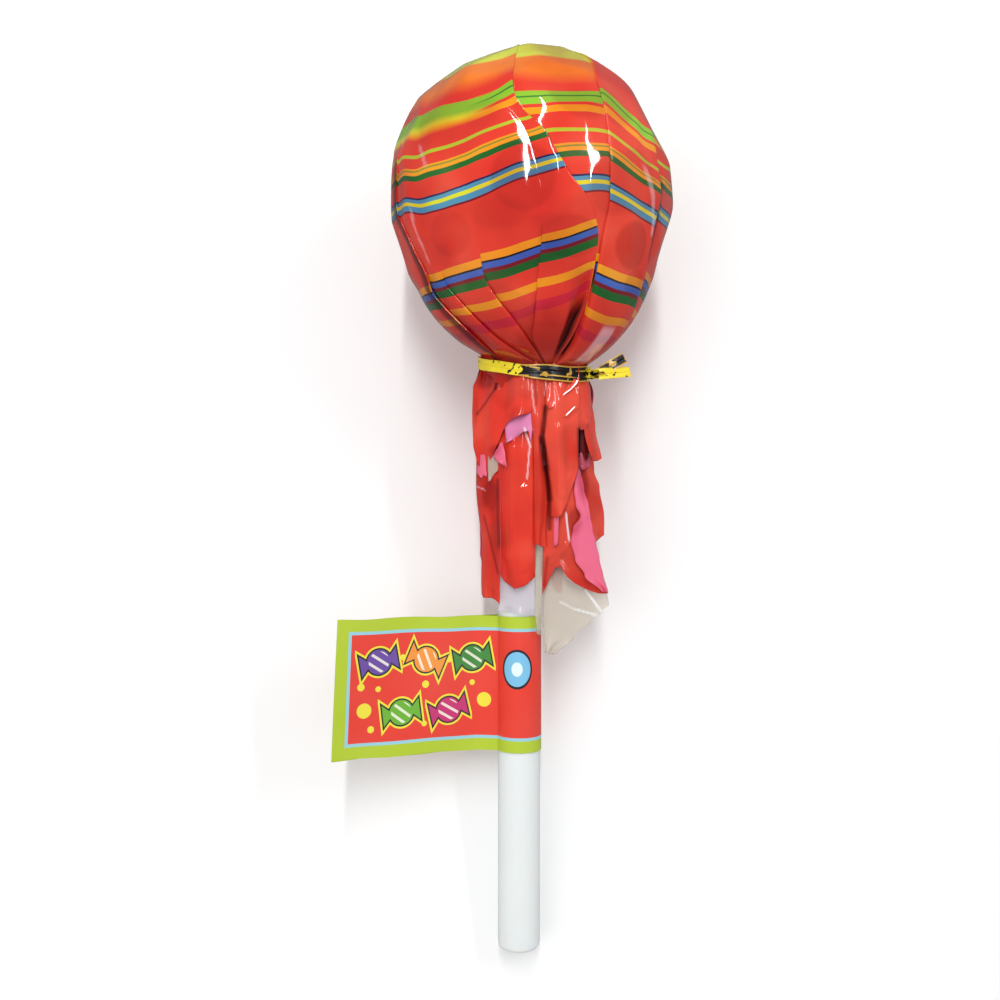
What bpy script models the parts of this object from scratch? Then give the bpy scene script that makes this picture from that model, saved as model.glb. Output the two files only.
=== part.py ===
"""Giant wrapped lollipop pack, lying on its back with the shown side up.

The pack is a ball wrapped in one sheet of printed film. The film is gathered in pleats
at a waist, held there by a twist tie, and hangs below it as a skirt round a plastic stick.
The film is two solids that meet under the tie: the full head and the hollow skirt.
A paper label is wrapped round the stick, and its two ends are glued together as a flag.

Every piece is modelled upright: the ball's centre is at the origin, +Z runs up the stick
to the crown, and -Y is the shown side. An empty then lays the pack down.
An azimuth is 0 at the shown side and 90 on the right, seen from the front.
"""

import math

import bmesh
import bpy
from mathutils import Matrix, Vector

MM = 0.001

# Wrapped ball, in millimetres.
BALL_RADIUS = 49.4
SHOULDER_POLAR = 110.0
WAIST_RADIUS = 18.8
WAIST_TOP = -57.0
WAIST_MIDDLE = -60.0
WAIST_BOTTOM = -63.0
WAIST_OFFSET = 1.4
WAIST_SLOPE = math.tan(math.radians(5.5))
WAIST_DIP = math.tan(math.radians(13.5))
CONE_BULGE_HIGH = 20.0
CONE_BULGE_LOW = 20.0
CONE_ARRIVAL = Vector((-0.80, -0.60))
REST_HEIGHT = 48.3
CROWN_SHARE = 0.15
SHOULDER_SHARE = 0.62

# Stick.
STICK_RADIUS = 7.5
STICK_OFFSET = -4.0
STICK_TOP = -48.0
STICK_END = -268.0
STICK_ROUNDING = 2.0
STICK_SIDES = 32
ROUNDING_STEPS = 3

# Film skirt.
FILM_WALL = 0.9
FILM_SHARP_ANGLE = 25.0
SKIRT_PUFF = 21.3
PUFF_SHARE = 0.15
SPREAD_SHARE = 0.95
SKIRT_FOLD = 1.5
FOLD_MIDDLE = 0.2
TIGHT_RADIUS = 10.0
LOOSE_RADIUS = 15.0
GATHER_DEPTH = 3.5
FREE_GAP = 0.3

# Label.
LABEL_TOP = -149.0
LABEL_HEIGHT = 48.0
LABEL_WALL = 0.5
FLAG_LENGTH = 56.0
FLAG_LIFT = 20.0
FLAG_CURL = 1.25
FLAG_LEAN = 2.2
FLAG_ROOT = 0.4
FLAG_STEPS = 14
LABEL_SIDES = 32

# Twist tie.
TIE_HEIGHT = 4.0
TIE_WALL = 0.6
TIE_SIDES = 52
TIE_TAILS = (
    {"run": (10.8, 0.0, 5.6), "twist": 25.0},
    {"run": (13.2, 1.5, 1.9), "twist": -20.0},
)
TAIL_STEPS = 6
TAIL_NECK = 0.55
KNOT_LENGTH = 5.0
KNOT_RADIUS = 1.6
KNOT_TAPER = 0.8
KNOT_SIDES = 10
KNOT_FORWARD = 2.0
KNOT_SINK = 0.2

# Each pleat's azimuth at the crown, the equator, the waist and the hem, and which side
# of it lies on top: 1 where the film left of the pleat overlaps, -1 where the right does.
SHOWN_PLEATS = (
    (-80, -69, -71, -76, 1),
    (-60, -48, -40, -40, 1),
    (-35, -23, -10, -17, 1),
    (-8, 6, 6, 8, -1),
    (33, 34, 24, 30, -1),
    (62, 63, 66, 58, -1),
    (88, 90, 96, 90, -1),
)
HIDDEN_PLEATS = 6
HIDDEN_SPAN = (115.0, 263.0)
HIDDEN_SWAY = 3.0
COLUMNS_PER_PLEAT = 6

# Height in millimetres of a pleat's free edge, by share of the way from crown to waist.
WAIST_LIFT = 0.4
PLEAT_LIFT = (
    (0.0, 0.0),
    (0.25, 0.4),
    (0.55, 1.1),
    (0.8, 3.0),
    (0.94, 1.6),
    (1.0, WAIST_LIFT),
)

# The hem seen along the stick: azimuth, radius from the stick's axis and depth below
# the ball's centre. Round to the right it falls to the sheet's clear corner.
HEM = (
    (-165, 15.0, -130.0),
    (-130, 15.0, -134.0),
    (-90, 14.6, -142.0),
    (-58, 15.0, -144.0),
    (-38, 11.5, -142.0),
    (-20, 9.9, -139.0),
    (2, 9.7, -138.0),
    (14, 9.7, -128.0),
    (28, 9.9, -154.0),
    (42, 15.0, -134.0),
    (60, 25.5, -137.0),
    (80, 33.0, -142.0),
    (94, 32.0, -148.0),
    (120, 15.5, -164.0),
    (150, 14.0, -148.0),
)

HEAD_ROWS = 15
CONE_ROWS = 8
SKIRT_ROWS = 12


def eased(stations, where):
    """The value at where on a smooth curve through (place, value) stations."""
    low = stations[0]
    for high in stations[1:]:
        if where <= high[0]:
            share = (where - low[0]) / (high[0] - low[0])
            share = share * share * (3 - 2 * share)
            return low[1] + (high[1] - low[1]) * share
        low = high
    return low[1]


def around(azimuth, column):
    """The same round the hem: column 1 of HEM is the radius and column 2 the depth."""
    turned = (azimuth - HEM[0][0]) % 360 + HEM[0][0]
    stations = [(station[0], station[column]) for station in HEM]
    stations.append((HEM[0][0] + 360, HEM[0][column]))
    return eased(stations, turned)


def point(centre_x, azimuth, radius, height):
    angle = math.radians(azimuth)
    across = radius * math.sin(angle)
    return Vector((centre_x + across, -radius * math.cos(angle), height)) * MM


def waist_drop(azimuth, radius):
    """How far the tied waist's plane is below its middle: it falls right and forward."""
    angle = math.radians(azimuth)
    return radius * (WAIST_SLOPE * math.sin(angle) + WAIST_DIP * math.cos(angle))


def pleats():
    """All pleats round the pack, as shown pleats and evenly spread hidden ones."""
    found = list(SHOWN_PLEATS)
    first, last = HIDDEN_SPAN
    for index in range(HIDDEN_PLEATS):
        azimuth = first + (last - first) * index / (HIDDEN_PLEATS - 1)
        sway = HIDDEN_SWAY * math.sin(2.3 * index)
        side = 1 if index >= HIDDEN_PLEATS / 2 else -1
        found.append((azimuth, azimuth + sway, azimuth - sway, azimuth, side))
    return found


def columns():
    """One entry for each column of the film: its four azimuths and its height shares.

    The first share is for film that is raised at the pleat on its left, the second for
    film that is raised at the pleat on its right.
    """
    edges = pleats()
    made = []
    for index, edge in enumerate(edges):
        following = edges[(index + 1) % len(edges)]
        wrap = 360 if index + 1 == len(edges) else 0
        for step in range(COLUMNS_PER_PLEAT):
            share = step / COLUMNS_PER_PLEAT
            azimuths = [
                edge[k] + (following[k] + wrap - edge[k]) * share for k in range(4)
            ]
            left = (1 - share) ** 2 if edge[4] < 0 else 0.0
            right = share**2 if following[4] > 0 else 0.0
            made.append((azimuths, left + right))
    return made


def cone_point(share):
    """Radius and height on the baggy film between the ball and the waist."""
    polar = math.radians(SHOULDER_POLAR)
    start = Vector((math.sin(polar), math.cos(polar))) * BALL_RADIUS
    leave = Vector((math.cos(polar), -math.sin(polar)))
    end = Vector((WAIST_RADIUS, WAIST_TOP))
    high = start + leave * CONE_BULGE_HIGH
    low = end - CONE_ARRIVAL.normalized() * CONE_BULGE_LOW
    rest = 1 - share
    return (
        start * rest**3
        + high * 3 * rest**2 * share
        + low * 3 * rest * share**2
        + end * share**3
    )


def head_rings(film):
    """Rings of the wrapped ball from below the crown to the middle of the waist."""
    rows = []
    for step in range(1, HEAD_ROWS + 1):
        polar = math.radians(SHOULDER_POLAR * step / HEAD_ROWS)
        profile = (BALL_RADIUS * math.sin(polar), BALL_RADIUS * math.cos(polar))
        rows.append((profile, SHOULDER_SHARE * step / HEAD_ROWS, 0.0))
    for step in range(1, CONE_ROWS + 1):
        share = step / CONE_ROWS
        along = SHOULDER_SHARE + (1 - SHOULDER_SHARE) * share
        rows.append((cone_point(share), along, share))
    rows.append(((WAIST_RADIUS, WAIST_MIDDLE + FREE_GAP / 2), 1.0, 1.0))
    rings = []
    for (radius, height), along, waist in rows:
        lift = eased(PLEAT_LIFT, along)
        ring = []
        for azimuths, raised in film:
            stations = ((CROWN_SHARE, azimuths[0]), (0.5, azimuths[1]), (1.0, azimuths[2]))
            azimuth = eased(stations, max(along, CROWN_SHARE))
            reach = radius + lift * raised
            drop = waist**2 * waist_drop(azimuth, reach)
            ring.append(point(WAIST_OFFSET * waist, azimuth, reach, height - drop))
        rings.append(ring)
    return rings


def skirt_rings(film):
    """Outer and inner rings of the hanging film, both from the waist down to the hem."""
    outer = [waist_ring(film, WAIST_MIDDLE - FREE_GAP / 2)]
    outer.append(waist_ring(film, WAIST_BOTTOM))
    inner = []
    for step in range(1, SKIRT_ROWS + 1):
        share = step / SKIRT_ROWS
        spread = eased(((0.0, 0.0), (SPREAD_SHARE, 1.0)), share)
        puffed = eased(((0.0, WAIST_RADIUS), (PUFF_SHARE, SKIRT_PUFF)), share)
        centre = WAIST_OFFSET + (STICK_OFFSET - WAIST_OFFSET) * spread
        outside = []
        inside = []
        for azimuths, raised in film:
            azimuth = azimuths[2] + (azimuths[3] - azimuths[2]) * spread
            hem_radius = around(azimuth, 1)
            hem_height = around(azimuth, 2)
            radius = puffed + (hem_radius - puffed) * spread
            looseness = (radius - TIGHT_RADIUS) / (LOOSE_RADIUS - TIGHT_RADIUS)
            room = min(1.0, max(0.0, looseness))
            radius += SKIRT_FOLD * (raised - FOLD_MIDDLE) * room
            start = WAIST_BOTTOM - waist_drop(azimuth, radius) * (1 - share)
            height = start + (hem_height - WAIST_BOTTOM) * share
            outside.append(point(centre, azimuth, radius, height))
            inside.append(point(centre, azimuth, radius - FILM_WALL, height))
        outer.append(outside)
        inner.append(inside)
    return outer, inner


def waist_ring(film, height):
    """The film's outside at the waist, which slopes down to the right."""
    ring = []
    for azimuths, raised in film:
        reach = WAIST_RADIUS + WAIST_LIFT * raised
        drop = waist_drop(azimuths[2], reach)
        ring.append(point(WAIST_OFFSET, azimuths[2], reach, height - drop))
    return ring


def bore_ring(film, height, follow):
    """A ring of the hole in the gathered film that the stick runs in.

    With follow at 1 it lies in the tied waist's plane, and with 0 it is level.
    """
    radius = STICK_RADIUS + FREE_GAP
    ring = []
    for azimuths, _ in film:
        drop = waist_drop(azimuths[2], radius)
        drop += WAIST_SLOPE * (STICK_OFFSET - WAIST_OFFSET)
        place = point(STICK_OFFSET, azimuths[2], radius, height - follow * drop)
        ring.append(place)
    return ring


def lay_down_angle():
    """How far the stick slopes when the ball's flat spot and the stick's end touch."""
    reach = -STICK_END - STICK_ROUNDING
    corner = STICK_RADIUS - STICK_ROUNDING
    drop = REST_HEIGHT - STICK_ROUNDING
    return math.asin(drop / math.hypot(reach, corner)) - math.atan2(corner, reach)


def lying_frame():
    empty = bpy.data.objects.new("lying_frame", None)
    empty.location = (0, 0, REST_HEIGHT * MM)
    empty.rotation_euler = (lay_down_angle() - math.pi / 2, 0, 0)
    bpy.context.scene.collection.objects.link(empty)
    return empty


def material(name, colour, roughness, metallic=0.0):
    made = bpy.data.materials.new(name)
    made.use_nodes = True
    shader = made.node_tree.nodes["Principled BSDF"]
    shader.inputs["Base Color"].default_value = (*colour, 1.0)
    shader.inputs["Roughness"].default_value = roughness
    shader.inputs["Metallic"].default_value = metallic
    return made


def add_object(name, mesh_builder, finish, smooth_angle=40.0):
    mesh = bpy.data.meshes.new(name)
    bmesh.ops.recalc_face_normals(mesh_builder, faces=mesh_builder.faces)
    mesh_builder.to_mesh(mesh)
    mesh_builder.free()
    mesh.shade_smooth()
    mesh.set_sharp_from_angle(angle=math.radians(smooth_angle))
    mesh.materials.append(finish)
    made = bpy.data.objects.new(name, mesh)
    bpy.context.scene.collection.objects.link(made)
    return made


def bridge(builder, upper, lower):
    """Splits each strip between two rings along the same diagonal, on every film face."""
    count = len(upper)
    for index in range(count):
        following = (index + 1) % count
        builder.faces.new((upper[index], lower[index], lower[following]))
        builder.faces.new((upper[index], lower[following], upper[following]))


def close_with_pole(builder, ring, position):
    pole = builder.verts.new(position)
    for index, vertex in enumerate(ring):
        builder.faces.new((vertex, ring[(index + 1) % len(ring)], pole))


def bridged(builder, places):
    """The given rings as vertices, joined each to the next."""
    rings = []
    for ring in places:
        rings.append([builder.verts.new(place) for place in ring])
    for upper, lower in zip(rings, rings[1:]):
        bridge(builder, upper, lower)
    return rings


def film_head(finish):
    """The wrapped ball down to the middle of the waist, with a blind hole for the stick."""
    film = columns()
    hole_top = STICK_TOP + FREE_GAP
    hole = [bore_ring(film, WAIST_MIDDLE + FREE_GAP / 2, 1.0)]
    hole.append(bore_ring(film, hole_top, 0.0))
    builder = bmesh.new()
    rings = bridged(builder, head_rings(film) + hole)
    close_with_pole(builder, rings[0], (0, 0, BALL_RADIUS * MM))
    close_with_pole(builder, rings[-1], (STICK_OFFSET * MM, 0, hole_top * MM))
    cut_flat_spot(builder)
    return add_object("film_head", builder, finish, FILM_SHARP_ANGLE)


def film_skirt(finish):
    """The gathered film below the middle of the waist, hollow down to its uneven hem."""
    film = columns()
    outer, inner = skirt_rings(film)
    hole = [bore_ring(film, WAIST_BOTTOM - GATHER_DEPTH, 1.0)]
    hole.append(bore_ring(film, WAIST_MIDDLE - FREE_GAP / 2, 1.0))
    builder = bmesh.new()
    rings = bridged(builder, outer + inner[::-1] + hole)
    bridge(builder, rings[-1], rings[0])
    return add_object("film_skirt", builder, finish, FILM_SHARP_ANGLE)


def cut_flat_spot(builder):
    """Cuts the ball along the floor, which leaves the small spot that it rests on."""
    angle = lay_down_angle()
    floor_normal = Vector((0, math.cos(angle), -math.sin(angle)))
    cut = bmesh.ops.bisect_plane(
        builder,
        geom=builder.verts[:] + builder.edges[:] + builder.faces[:],
        plane_co=floor_normal * REST_HEIGHT * MM,
        plane_no=floor_normal,
        clear_outer=True,
    )
    rim = [item for item in cut["geom_cut"] if isinstance(item, bmesh.types.BMEdge)]
    bmesh.ops.contextual_create(builder, geom=rim)


def turned(builder, profile, sides, centre_x):
    """A closed turned shape from (radius, height) points, open at neither end."""
    rings = []
    for radius, height in profile:
        ring = []
        for side in range(sides):
            ring.append(
                builder.verts.new(point(centre_x, 360 * side / sides, radius, height))
            )
        rings.append(ring)
    for upper, lower in zip(rings, rings[1:]):
        for side in range(sides):
            following = (side + 1) % sides
            builder.faces.new(
                (upper[side], lower[side], lower[following], upper[following])
            )
    builder.faces.new(rings[0])
    builder.faces.new(rings[-1])


def stick(finish):
    profile = [(STICK_RADIUS, STICK_TOP)]
    for step in range(ROUNDING_STEPS + 1):
        angle = math.radians(90 * step / ROUNDING_STEPS)
        radius = STICK_RADIUS - STICK_ROUNDING * (1 - math.cos(angle))
        height = STICK_END + STICK_ROUNDING * (1 - math.sin(angle))
        profile.append((radius, height))
    builder = bmesh.new()
    turned(builder, profile, STICK_SIDES, STICK_OFFSET)
    return add_object("stick", builder, finish)


def flag_line(share):
    """The flag's middle line, from the stick's side out to the tip, seen along the stick."""
    root = STICK_OFFSET - STICK_RADIUS - FREE_GAP - LABEL_WALL
    return Vector((root + FLAG_ROOT - FLAG_LENGTH * share, -FLAG_LIFT * share**FLAG_CURL))


def flag_label(finish):
    """A ring round the stick that runs out into the flag of two glued layers."""
    inner_radius = STICK_RADIUS + FREE_GAP
    outer_radius = inner_radius + LABEL_WALL
    builder = bmesh.new()

    def corner(x, y):
        return builder.verts.new(Vector((x, y, LABEL_TOP)) * MM)

    inner = []
    outer = []
    for side in range(LABEL_SIDES):
        angle = math.radians(-90 + 360 * (side + 0.5) / LABEL_SIDES)
        across = math.sin(angle)
        toward = -math.cos(angle)
        inner.append(corner(STICK_OFFSET + inner_radius * across, inner_radius * toward))
        outer.append(corner(STICK_OFFSET + outer_radius * across, outer_radius * toward))
    faces = []
    for side in range(LABEL_SIDES):
        following = (side + 1) % LABEL_SIDES
        faces.append(
            builder.faces.new(
                (inner[side], outer[side], outer[following], inner[following])
            )
        )
    front = outer[0]
    back = outer[-1]
    for step in range(1, FLAG_STEPS + 1):
        share = step / FLAG_STEPS
        middle = flag_line(share)
        ahead = middle - flag_line(share - 1 / FLAG_STEPS)
        half = Vector((ahead.y, -ahead.x)).normalized() * LABEL_WALL
        nearer = min((middle + half, middle - half), key=lambda place: place.y)
        further = middle * 2 - nearer
        next_front = corner(nearer.x, nearer.y)
        next_back = corner(further.x, further.y)
        faces.append(builder.faces.new((front, next_front, next_back, back)))
        front = next_front
        back = next_back
    drawn = bmesh.ops.extrude_face_region(builder, geom=faces)
    lower = [item for item in drawn["geom"] if isinstance(item, bmesh.types.BMVert)]
    bmesh.ops.translate(builder, verts=lower, vec=(0, 0, -LABEL_HEIGHT * MM))
    lean_flag(builder)
    return add_object("flag_label", builder, finish)


def lean_flag(builder):
    """Leans the flag's free end, whose upper corner stands nearer the stick."""
    root = (STICK_OFFSET - STICK_RADIUS) * MM
    for vertex in builder.verts:
        out = max(0.0, root - vertex.co.x) / (FLAG_LENGTH * MM)
        up = vertex.co.z / MM - (LABEL_TOP - LABEL_HEIGHT)
        vertex.co.x += FLAG_LEAN * MM * out * up / LABEL_HEIGHT


def tie_ring():
    """The band round the waist, sloping as the waist does."""
    inside = WAIST_RADIUS + WAIST_LIFT + FREE_GAP
    outside = inside + TIE_WALL
    builder = bmesh.new()
    sections = []
    for side in range(TIE_SIDES):
        azimuth = 360 * side / TIE_SIDES
        drop = waist_drop(azimuth, outside)
        section = []
        for radius, up in ((inside, 1), (outside, 1), (outside, -1), (inside, -1)):
            height = WAIST_MIDDLE + up * TIE_HEIGHT / 2 - drop
            section.append(
                builder.verts.new(point(WAIST_OFFSET, azimuth, radius, height))
            )
        sections.append(section)
    for index, section in enumerate(sections):
        following = sections[(index + 1) % TIE_SIDES]
        for edge in range(4):
            other = (edge + 1) % 4
            builder.faces.new(
                (section[edge], section[other], following[other], following[edge])
            )
    return builder


def knot_place():
    outside = WAIST_RADIUS + WAIST_LIFT + FREE_GAP + TIE_WALL
    across = WAIST_OFFSET + outside - KNOT_SINK
    drop = WAIST_SLOPE * outside + WAIST_DIP * KNOT_FORWARD
    return Vector((across, -KNOT_FORWARD, WAIST_MIDDLE - drop))


def tie_tail(run, twist):
    """One free end of the tie: a flat strip that turns a little about its own length."""
    builder = bmesh.new()
    start = knot_place() + Vector((KNOT_LENGTH * 0.5, 0, 0))
    along = Vector(run)
    flat = along.cross(Vector((0, 1, 0))).normalized()
    previous = None
    for step in range(TAIL_STEPS + 1):
        share = step / TAIL_STEPS
        turn = Matrix.Rotation(math.radians(twist * share), 3, along)
        wide = turn @ flat * TIE_HEIGHT / 2 * min(1.0, TAIL_NECK + share)
        thick = wide.cross(along).normalized() * TIE_WALL / 2
        centre = start + along * share
        corners = (
            centre + wide + thick,
            centre - wide + thick,
            centre - wide - thick,
            centre + wide - thick,
        )
        section = [builder.verts.new(place * MM) for place in corners]
        if previous is None:
            builder.faces.new(section)
        else:
            for edge in range(4):
                other = (edge + 1) % 4
                builder.faces.new(
                    (previous[edge], previous[other], section[other], section[edge])
                )
        previous = section
    builder.faces.new(previous)
    return builder


def tie_knot():
    """The twisted stretch between the ring and the two free ends."""
    builder = bmesh.new()
    place = knot_place() + Vector((KNOT_LENGTH * 0.3, 0, 0))
    turn = Matrix.Rotation(math.pi / 2, 4, "Y")
    bmesh.ops.create_cone(
        builder,
        cap_ends=True,
        segments=KNOT_SIDES,
        radius1=KNOT_RADIUS * MM,
        radius2=KNOT_RADIUS * KNOT_TAPER * MM,
        depth=KNOT_LENGTH * MM,
        matrix=Matrix.Translation(place * MM) @ turn,
    )
    return builder


def twist_tie(finish):
    """Ring, knot and free ends joined into one body."""
    ring = add_object("twist_tie", tie_ring(), finish)
    joined = bpy.data.collections.new("tie_pieces")
    bpy.context.scene.collection.children.link(joined)
    pieces = [add_object("tie_knot", tie_knot(), finish)]
    for index, tail in enumerate(TIE_TAILS):
        builder = tie_tail(tail["run"], tail["twist"])
        pieces.append(add_object(f"tie_tail_{index}", builder, finish))
    for piece in pieces:
        bpy.context.scene.collection.objects.unlink(piece)
        joined.objects.link(piece)
    union = ring.modifiers.new("join", "BOOLEAN")
    union.operation = "UNION"
    union.operand_type = "COLLECTION"
    union.collection = joined
    union.solver = "EXACT"
    bpy.context.view_layer.update()
    evaluated = ring.evaluated_get(bpy.context.evaluated_depsgraph_get())
    ring.data = bpy.data.meshes.new_from_object(evaluated)
    ring.modifiers.clear()
    for piece in pieces:
        bpy.data.objects.remove(piece)
    bpy.data.collections.remove(joined)
    return ring


def main():
    for old in list(bpy.data.objects):
        bpy.data.objects.remove(old)
    film_red = material("printed_film", (0.78, 0.03, 0.02), 0.18)
    stick_white = material("stick_plastic", (0.86, 0.88, 0.88), 0.35)
    label_paper = material("label_paper", (0.80, 0.06, 0.04), 0.45)
    tie_foil = material("tie_foil", (0.85, 0.68, 0.10), 0.3, 0.8)
    frame = lying_frame()
    for piece in (
        film_head(film_red),
        film_skirt(film_red),
        stick(stick_white),
        flag_label(label_paper),
        twist_tie(tie_foil),
    ):
        piece.parent = frame


main()
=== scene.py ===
import bisect
import math
import random

import bpy
from mathutils import Matrix, Vector


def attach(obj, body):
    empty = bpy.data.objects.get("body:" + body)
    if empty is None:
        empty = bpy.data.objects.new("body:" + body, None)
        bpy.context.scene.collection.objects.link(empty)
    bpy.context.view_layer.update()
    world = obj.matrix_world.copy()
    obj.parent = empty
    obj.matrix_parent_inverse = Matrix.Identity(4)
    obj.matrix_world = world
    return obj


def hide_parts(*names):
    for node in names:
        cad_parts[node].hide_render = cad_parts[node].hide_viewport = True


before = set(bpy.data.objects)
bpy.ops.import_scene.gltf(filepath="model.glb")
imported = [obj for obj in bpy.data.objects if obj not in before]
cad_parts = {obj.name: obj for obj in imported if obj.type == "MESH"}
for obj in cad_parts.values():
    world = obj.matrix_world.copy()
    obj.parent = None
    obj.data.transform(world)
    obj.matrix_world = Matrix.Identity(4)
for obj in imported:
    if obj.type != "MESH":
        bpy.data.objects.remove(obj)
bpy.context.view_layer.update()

# The pack is worked out upright in millimetres and then laid down: the ball's centre is at 0,
# the crown at +Z, the shown side at -Y. An azimuth is 0 at the shown side and 90 on the right.
# An arc is the distance from the crown down along the film.
pack = {
    "ballRadius": 49.4,
    "shoulderAngle": 110.0,
    "waistRadius": 18.8,
    "waistTop": -57.0,
    "waistMiddle": -60.0,
    "waistOffset": 1.4,     # how far right of the crown's line the waist's middle is
    "waistSlope": 5.5,      # degrees that the waist falls to the right
    "waistDip": 13.5,       # degrees that it falls to the front
    "bagFullness": 20.0,    # how far the film keeps the ball's line below the shoulder
    "stickRadius": 7.5,
    "stickOffset": -4.0,
    "stickTop": -48.0,
    "stickEnd": -268.0,
    "stickRounding": 2.0,
    "restHeight": 48.3,
    "floorGap": 0.0002,     # metres
}
mm = 0.001


def layDownMatrix():
    reach = -pack["stickEnd"] - pack["stickRounding"]
    corner = pack["stickRadius"] - pack["stickRounding"]
    drop = pack["restHeight"] - pack["stickRounding"]
    lean = math.asin(drop / math.hypot(reach, corner)) - math.atan2(corner, reach)
    lift = Matrix.Translation((0, 0, pack["restHeight"] * mm))
    return lift @ Matrix.Rotation(lean - math.pi / 2, 4, "X") @ Matrix.Scale(mm, 4)


laid = layDownMatrix()


def smooth(share):
    share = min(1.0, max(0.0, share))
    return share * share * (3 - 2 * share)


def between(stations, where, column=1):  # straight lines through (place, value, value...) stations
    low = stations[0]
    if where <= low[0]:
        return low[column]
    for high in stations[1:]:
        if where <= high[0]:
            share = (where - low[0]) / (high[0] - low[0])
            return low[column] + (high[column] - low[column]) * share
        low = high
    return low[column]


def eased(stations, where, column=1):  # the same with soft bends
    low = stations[0]
    if where <= low[0]:
        return low[column]
    for high in stations[1:]:
        if where <= high[0]:
            share = smooth((where - low[0]) / (high[0] - low[0]))
            return low[column] + (high[column] - low[column]) * share
        low = high
    return low[column]


def curved(stations, where):  # one smooth curve through (place, value) stations
    if where <= stations[0][0]:
        return stations[0][1]
    if where >= stations[-1][0]:
        return stations[-1][1]
    places = [station[0] for station in stations]
    index = bisect.bisect_right(places, where)
    (x0, y0), (x1, y1) = stations[index - 1][:2], stations[index][:2]
    wide = x1 - x0
    slope0 = slope1 = (y1 - y0) / wide
    if index >= 2:
        slope0 = (y1 - stations[index - 2][1]) / (x1 - stations[index - 2][0])
    if index + 1 < len(stations):
        slope1 = (stations[index + 1][1] - y0) / (stations[index + 1][0] - x0)
    share = (where - x0) / wide
    rest = 1 - share
    bend = rest * rest * share * slope0 * wide - share * share * rest * slope1 * wide
    return y0 * rest * rest * (1 + 2 * share) + y1 * share * share * (3 - 2 * share) + bend


def addMesh(name, points, faces, materials, values=None, uvs=None, faceMaterials=None):
    mesh = bpy.data.meshes.new(name)
    placed = []
    for point in points:
        spot = laid @ Vector(point)
        spot.z = max(spot.z, pack["floorGap"])
        placed.append(spot)
    mesh.from_pydata(placed, [], faces)
    for attribute, numbers in (values or {}).items():
        mesh.attributes.new(attribute, "FLOAT", "POINT").data.foreach_set("value", numbers)
    if uvs:
        layer = mesh.uv_layers.new(name="film")
        spread = []
        for loop in mesh.loops:
            spread.extend(uvs[loop.vertex_index])
        layer.data.foreach_set("uv", spread)
    for material in materials:
        mesh.materials.append(material)
    if faceMaterials:
        mesh.polygons.foreach_set("material_index", faceMaterials)
    mesh.shade_smooth()
    piece = bpy.data.objects.new(name, mesh)
    bpy.context.scene.collection.objects.link(piece)
    return piece


def gridFaces(rows, columns, closed=False, start=0):  # rows run down and columns to the right, seen from outside
    faces = []
    for row in range(rows - 1):
        for column in range(columns if closed else columns - 1):
            following = (column + 1) % columns
            a = start + row * columns + column
            b = start + row * columns + following
            faces.append((a, a + columns, b + columns, b))
    return faces


def dress(piece, slot, *nodes):
    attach(piece, "root")
    if nodes:
        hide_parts(*nodes)
    return piece


# Shader and geometry node helpers
def newMaterial(name):
    material = bpy.data.materials.new(name)
    material.use_nodes = True
    shader = material.node_tree.nodes["Principled BSDF"]
    return material, material.node_tree, shader


def addNode(tree, kind, settings=None, **values):
    node = tree.nodes.new(kind)
    for key, value in (settings or {}).items():
        setattr(node, key, value)
    for key, value in values.items():
        socket = node.inputs[key.replace("_", " ")]
        if isinstance(value, bpy.types.NodeSocket):
            tree.links.new(value, socket)
        else:
            socket.default_value = value
    return node


def math2(tree, operation, a, b=0.0, clamp=False):
    node = tree.nodes.new("ShaderNodeMath")
    node.operation = operation
    node.use_clamp = clamp
    for socket, value in zip(node.inputs, (a, b)):
        if isinstance(value, bpy.types.NodeSocket):
            tree.links.new(value, socket)
        else:
            socket.default_value = value
    return node.outputs[0]


def mixColours(tree, factor, a, b, blend="MIX"):
    node = tree.nodes.new("ShaderNodeMix")
    node.data_type = "RGBA"
    node.blend_type = blend
    for index, value in ((0, factor), (6, a), (7, b)):
        if isinstance(value, bpy.types.NodeSocket):
            tree.links.new(value, node.inputs[index])
        elif index == 0:
            node.inputs[0].default_value = value
        else:
            node.inputs[index].default_value = (*value, 1.0)
    return node.outputs[2]


def ramp(tree, factor, stops, constant=False):
    node = tree.nodes.new("ShaderNodeValToRGB")
    node.color_ramp.interpolation = "CONSTANT" if constant else "LINEAR"
    elements = node.color_ramp.elements
    elements[0].position = stops[0][0]
    elements[0].color = (*stops[0][1], 1.0)
    elements.remove(elements[1])
    for place, colour in stops[1:]:
        element = elements.new(place)
        element.color = (*colour, 1.0)
    tree.links.new(factor, node.inputs[0])
    return node.outputs[0]


def attribute(tree, name):
    return addNode(tree, "ShaderNodeAttribute", {"attribute_name": name}).outputs["Fac"]


def screenColour(red, green, blue):  # a colour as seen on screen, 0 to 255, made linear
    made = []
    for value in (red, green, blue):
        value /= 255
        made.append(value / 12.92 if value <= 0.04045 else ((value + 0.055) / 1.055) ** 2.4)
    return tuple(made)


def newGroup(name, kind, inputs, outputs):
    group = bpy.data.node_groups.new(name, kind)
    for direction, sockets in (("INPUT", inputs), ("OUTPUT", outputs)):
        for label, socketKind, *start in sockets:
            socket = group.interface.new_socket(label, in_out=direction, socket_type=socketKind)
            if start:
                socket.default_value = start[0]
    entry = group.nodes.new("NodeGroupInput")
    leave = group.nodes.new("NodeGroupOutput")
    return group, entry.outputs, leave.inputs


def placeGroup(tree, group, **values):
    node = tree.nodes.new("ShaderNodeGroup")
    node.node_tree = group
    for key, value in values.items():
        socket = node.inputs[key.replace("_", " ")]
        if isinstance(value, bpy.types.NodeSocket):
            tree.links.new(value, socket)
        else:
            socket.default_value = value
    return node.outputs


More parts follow.
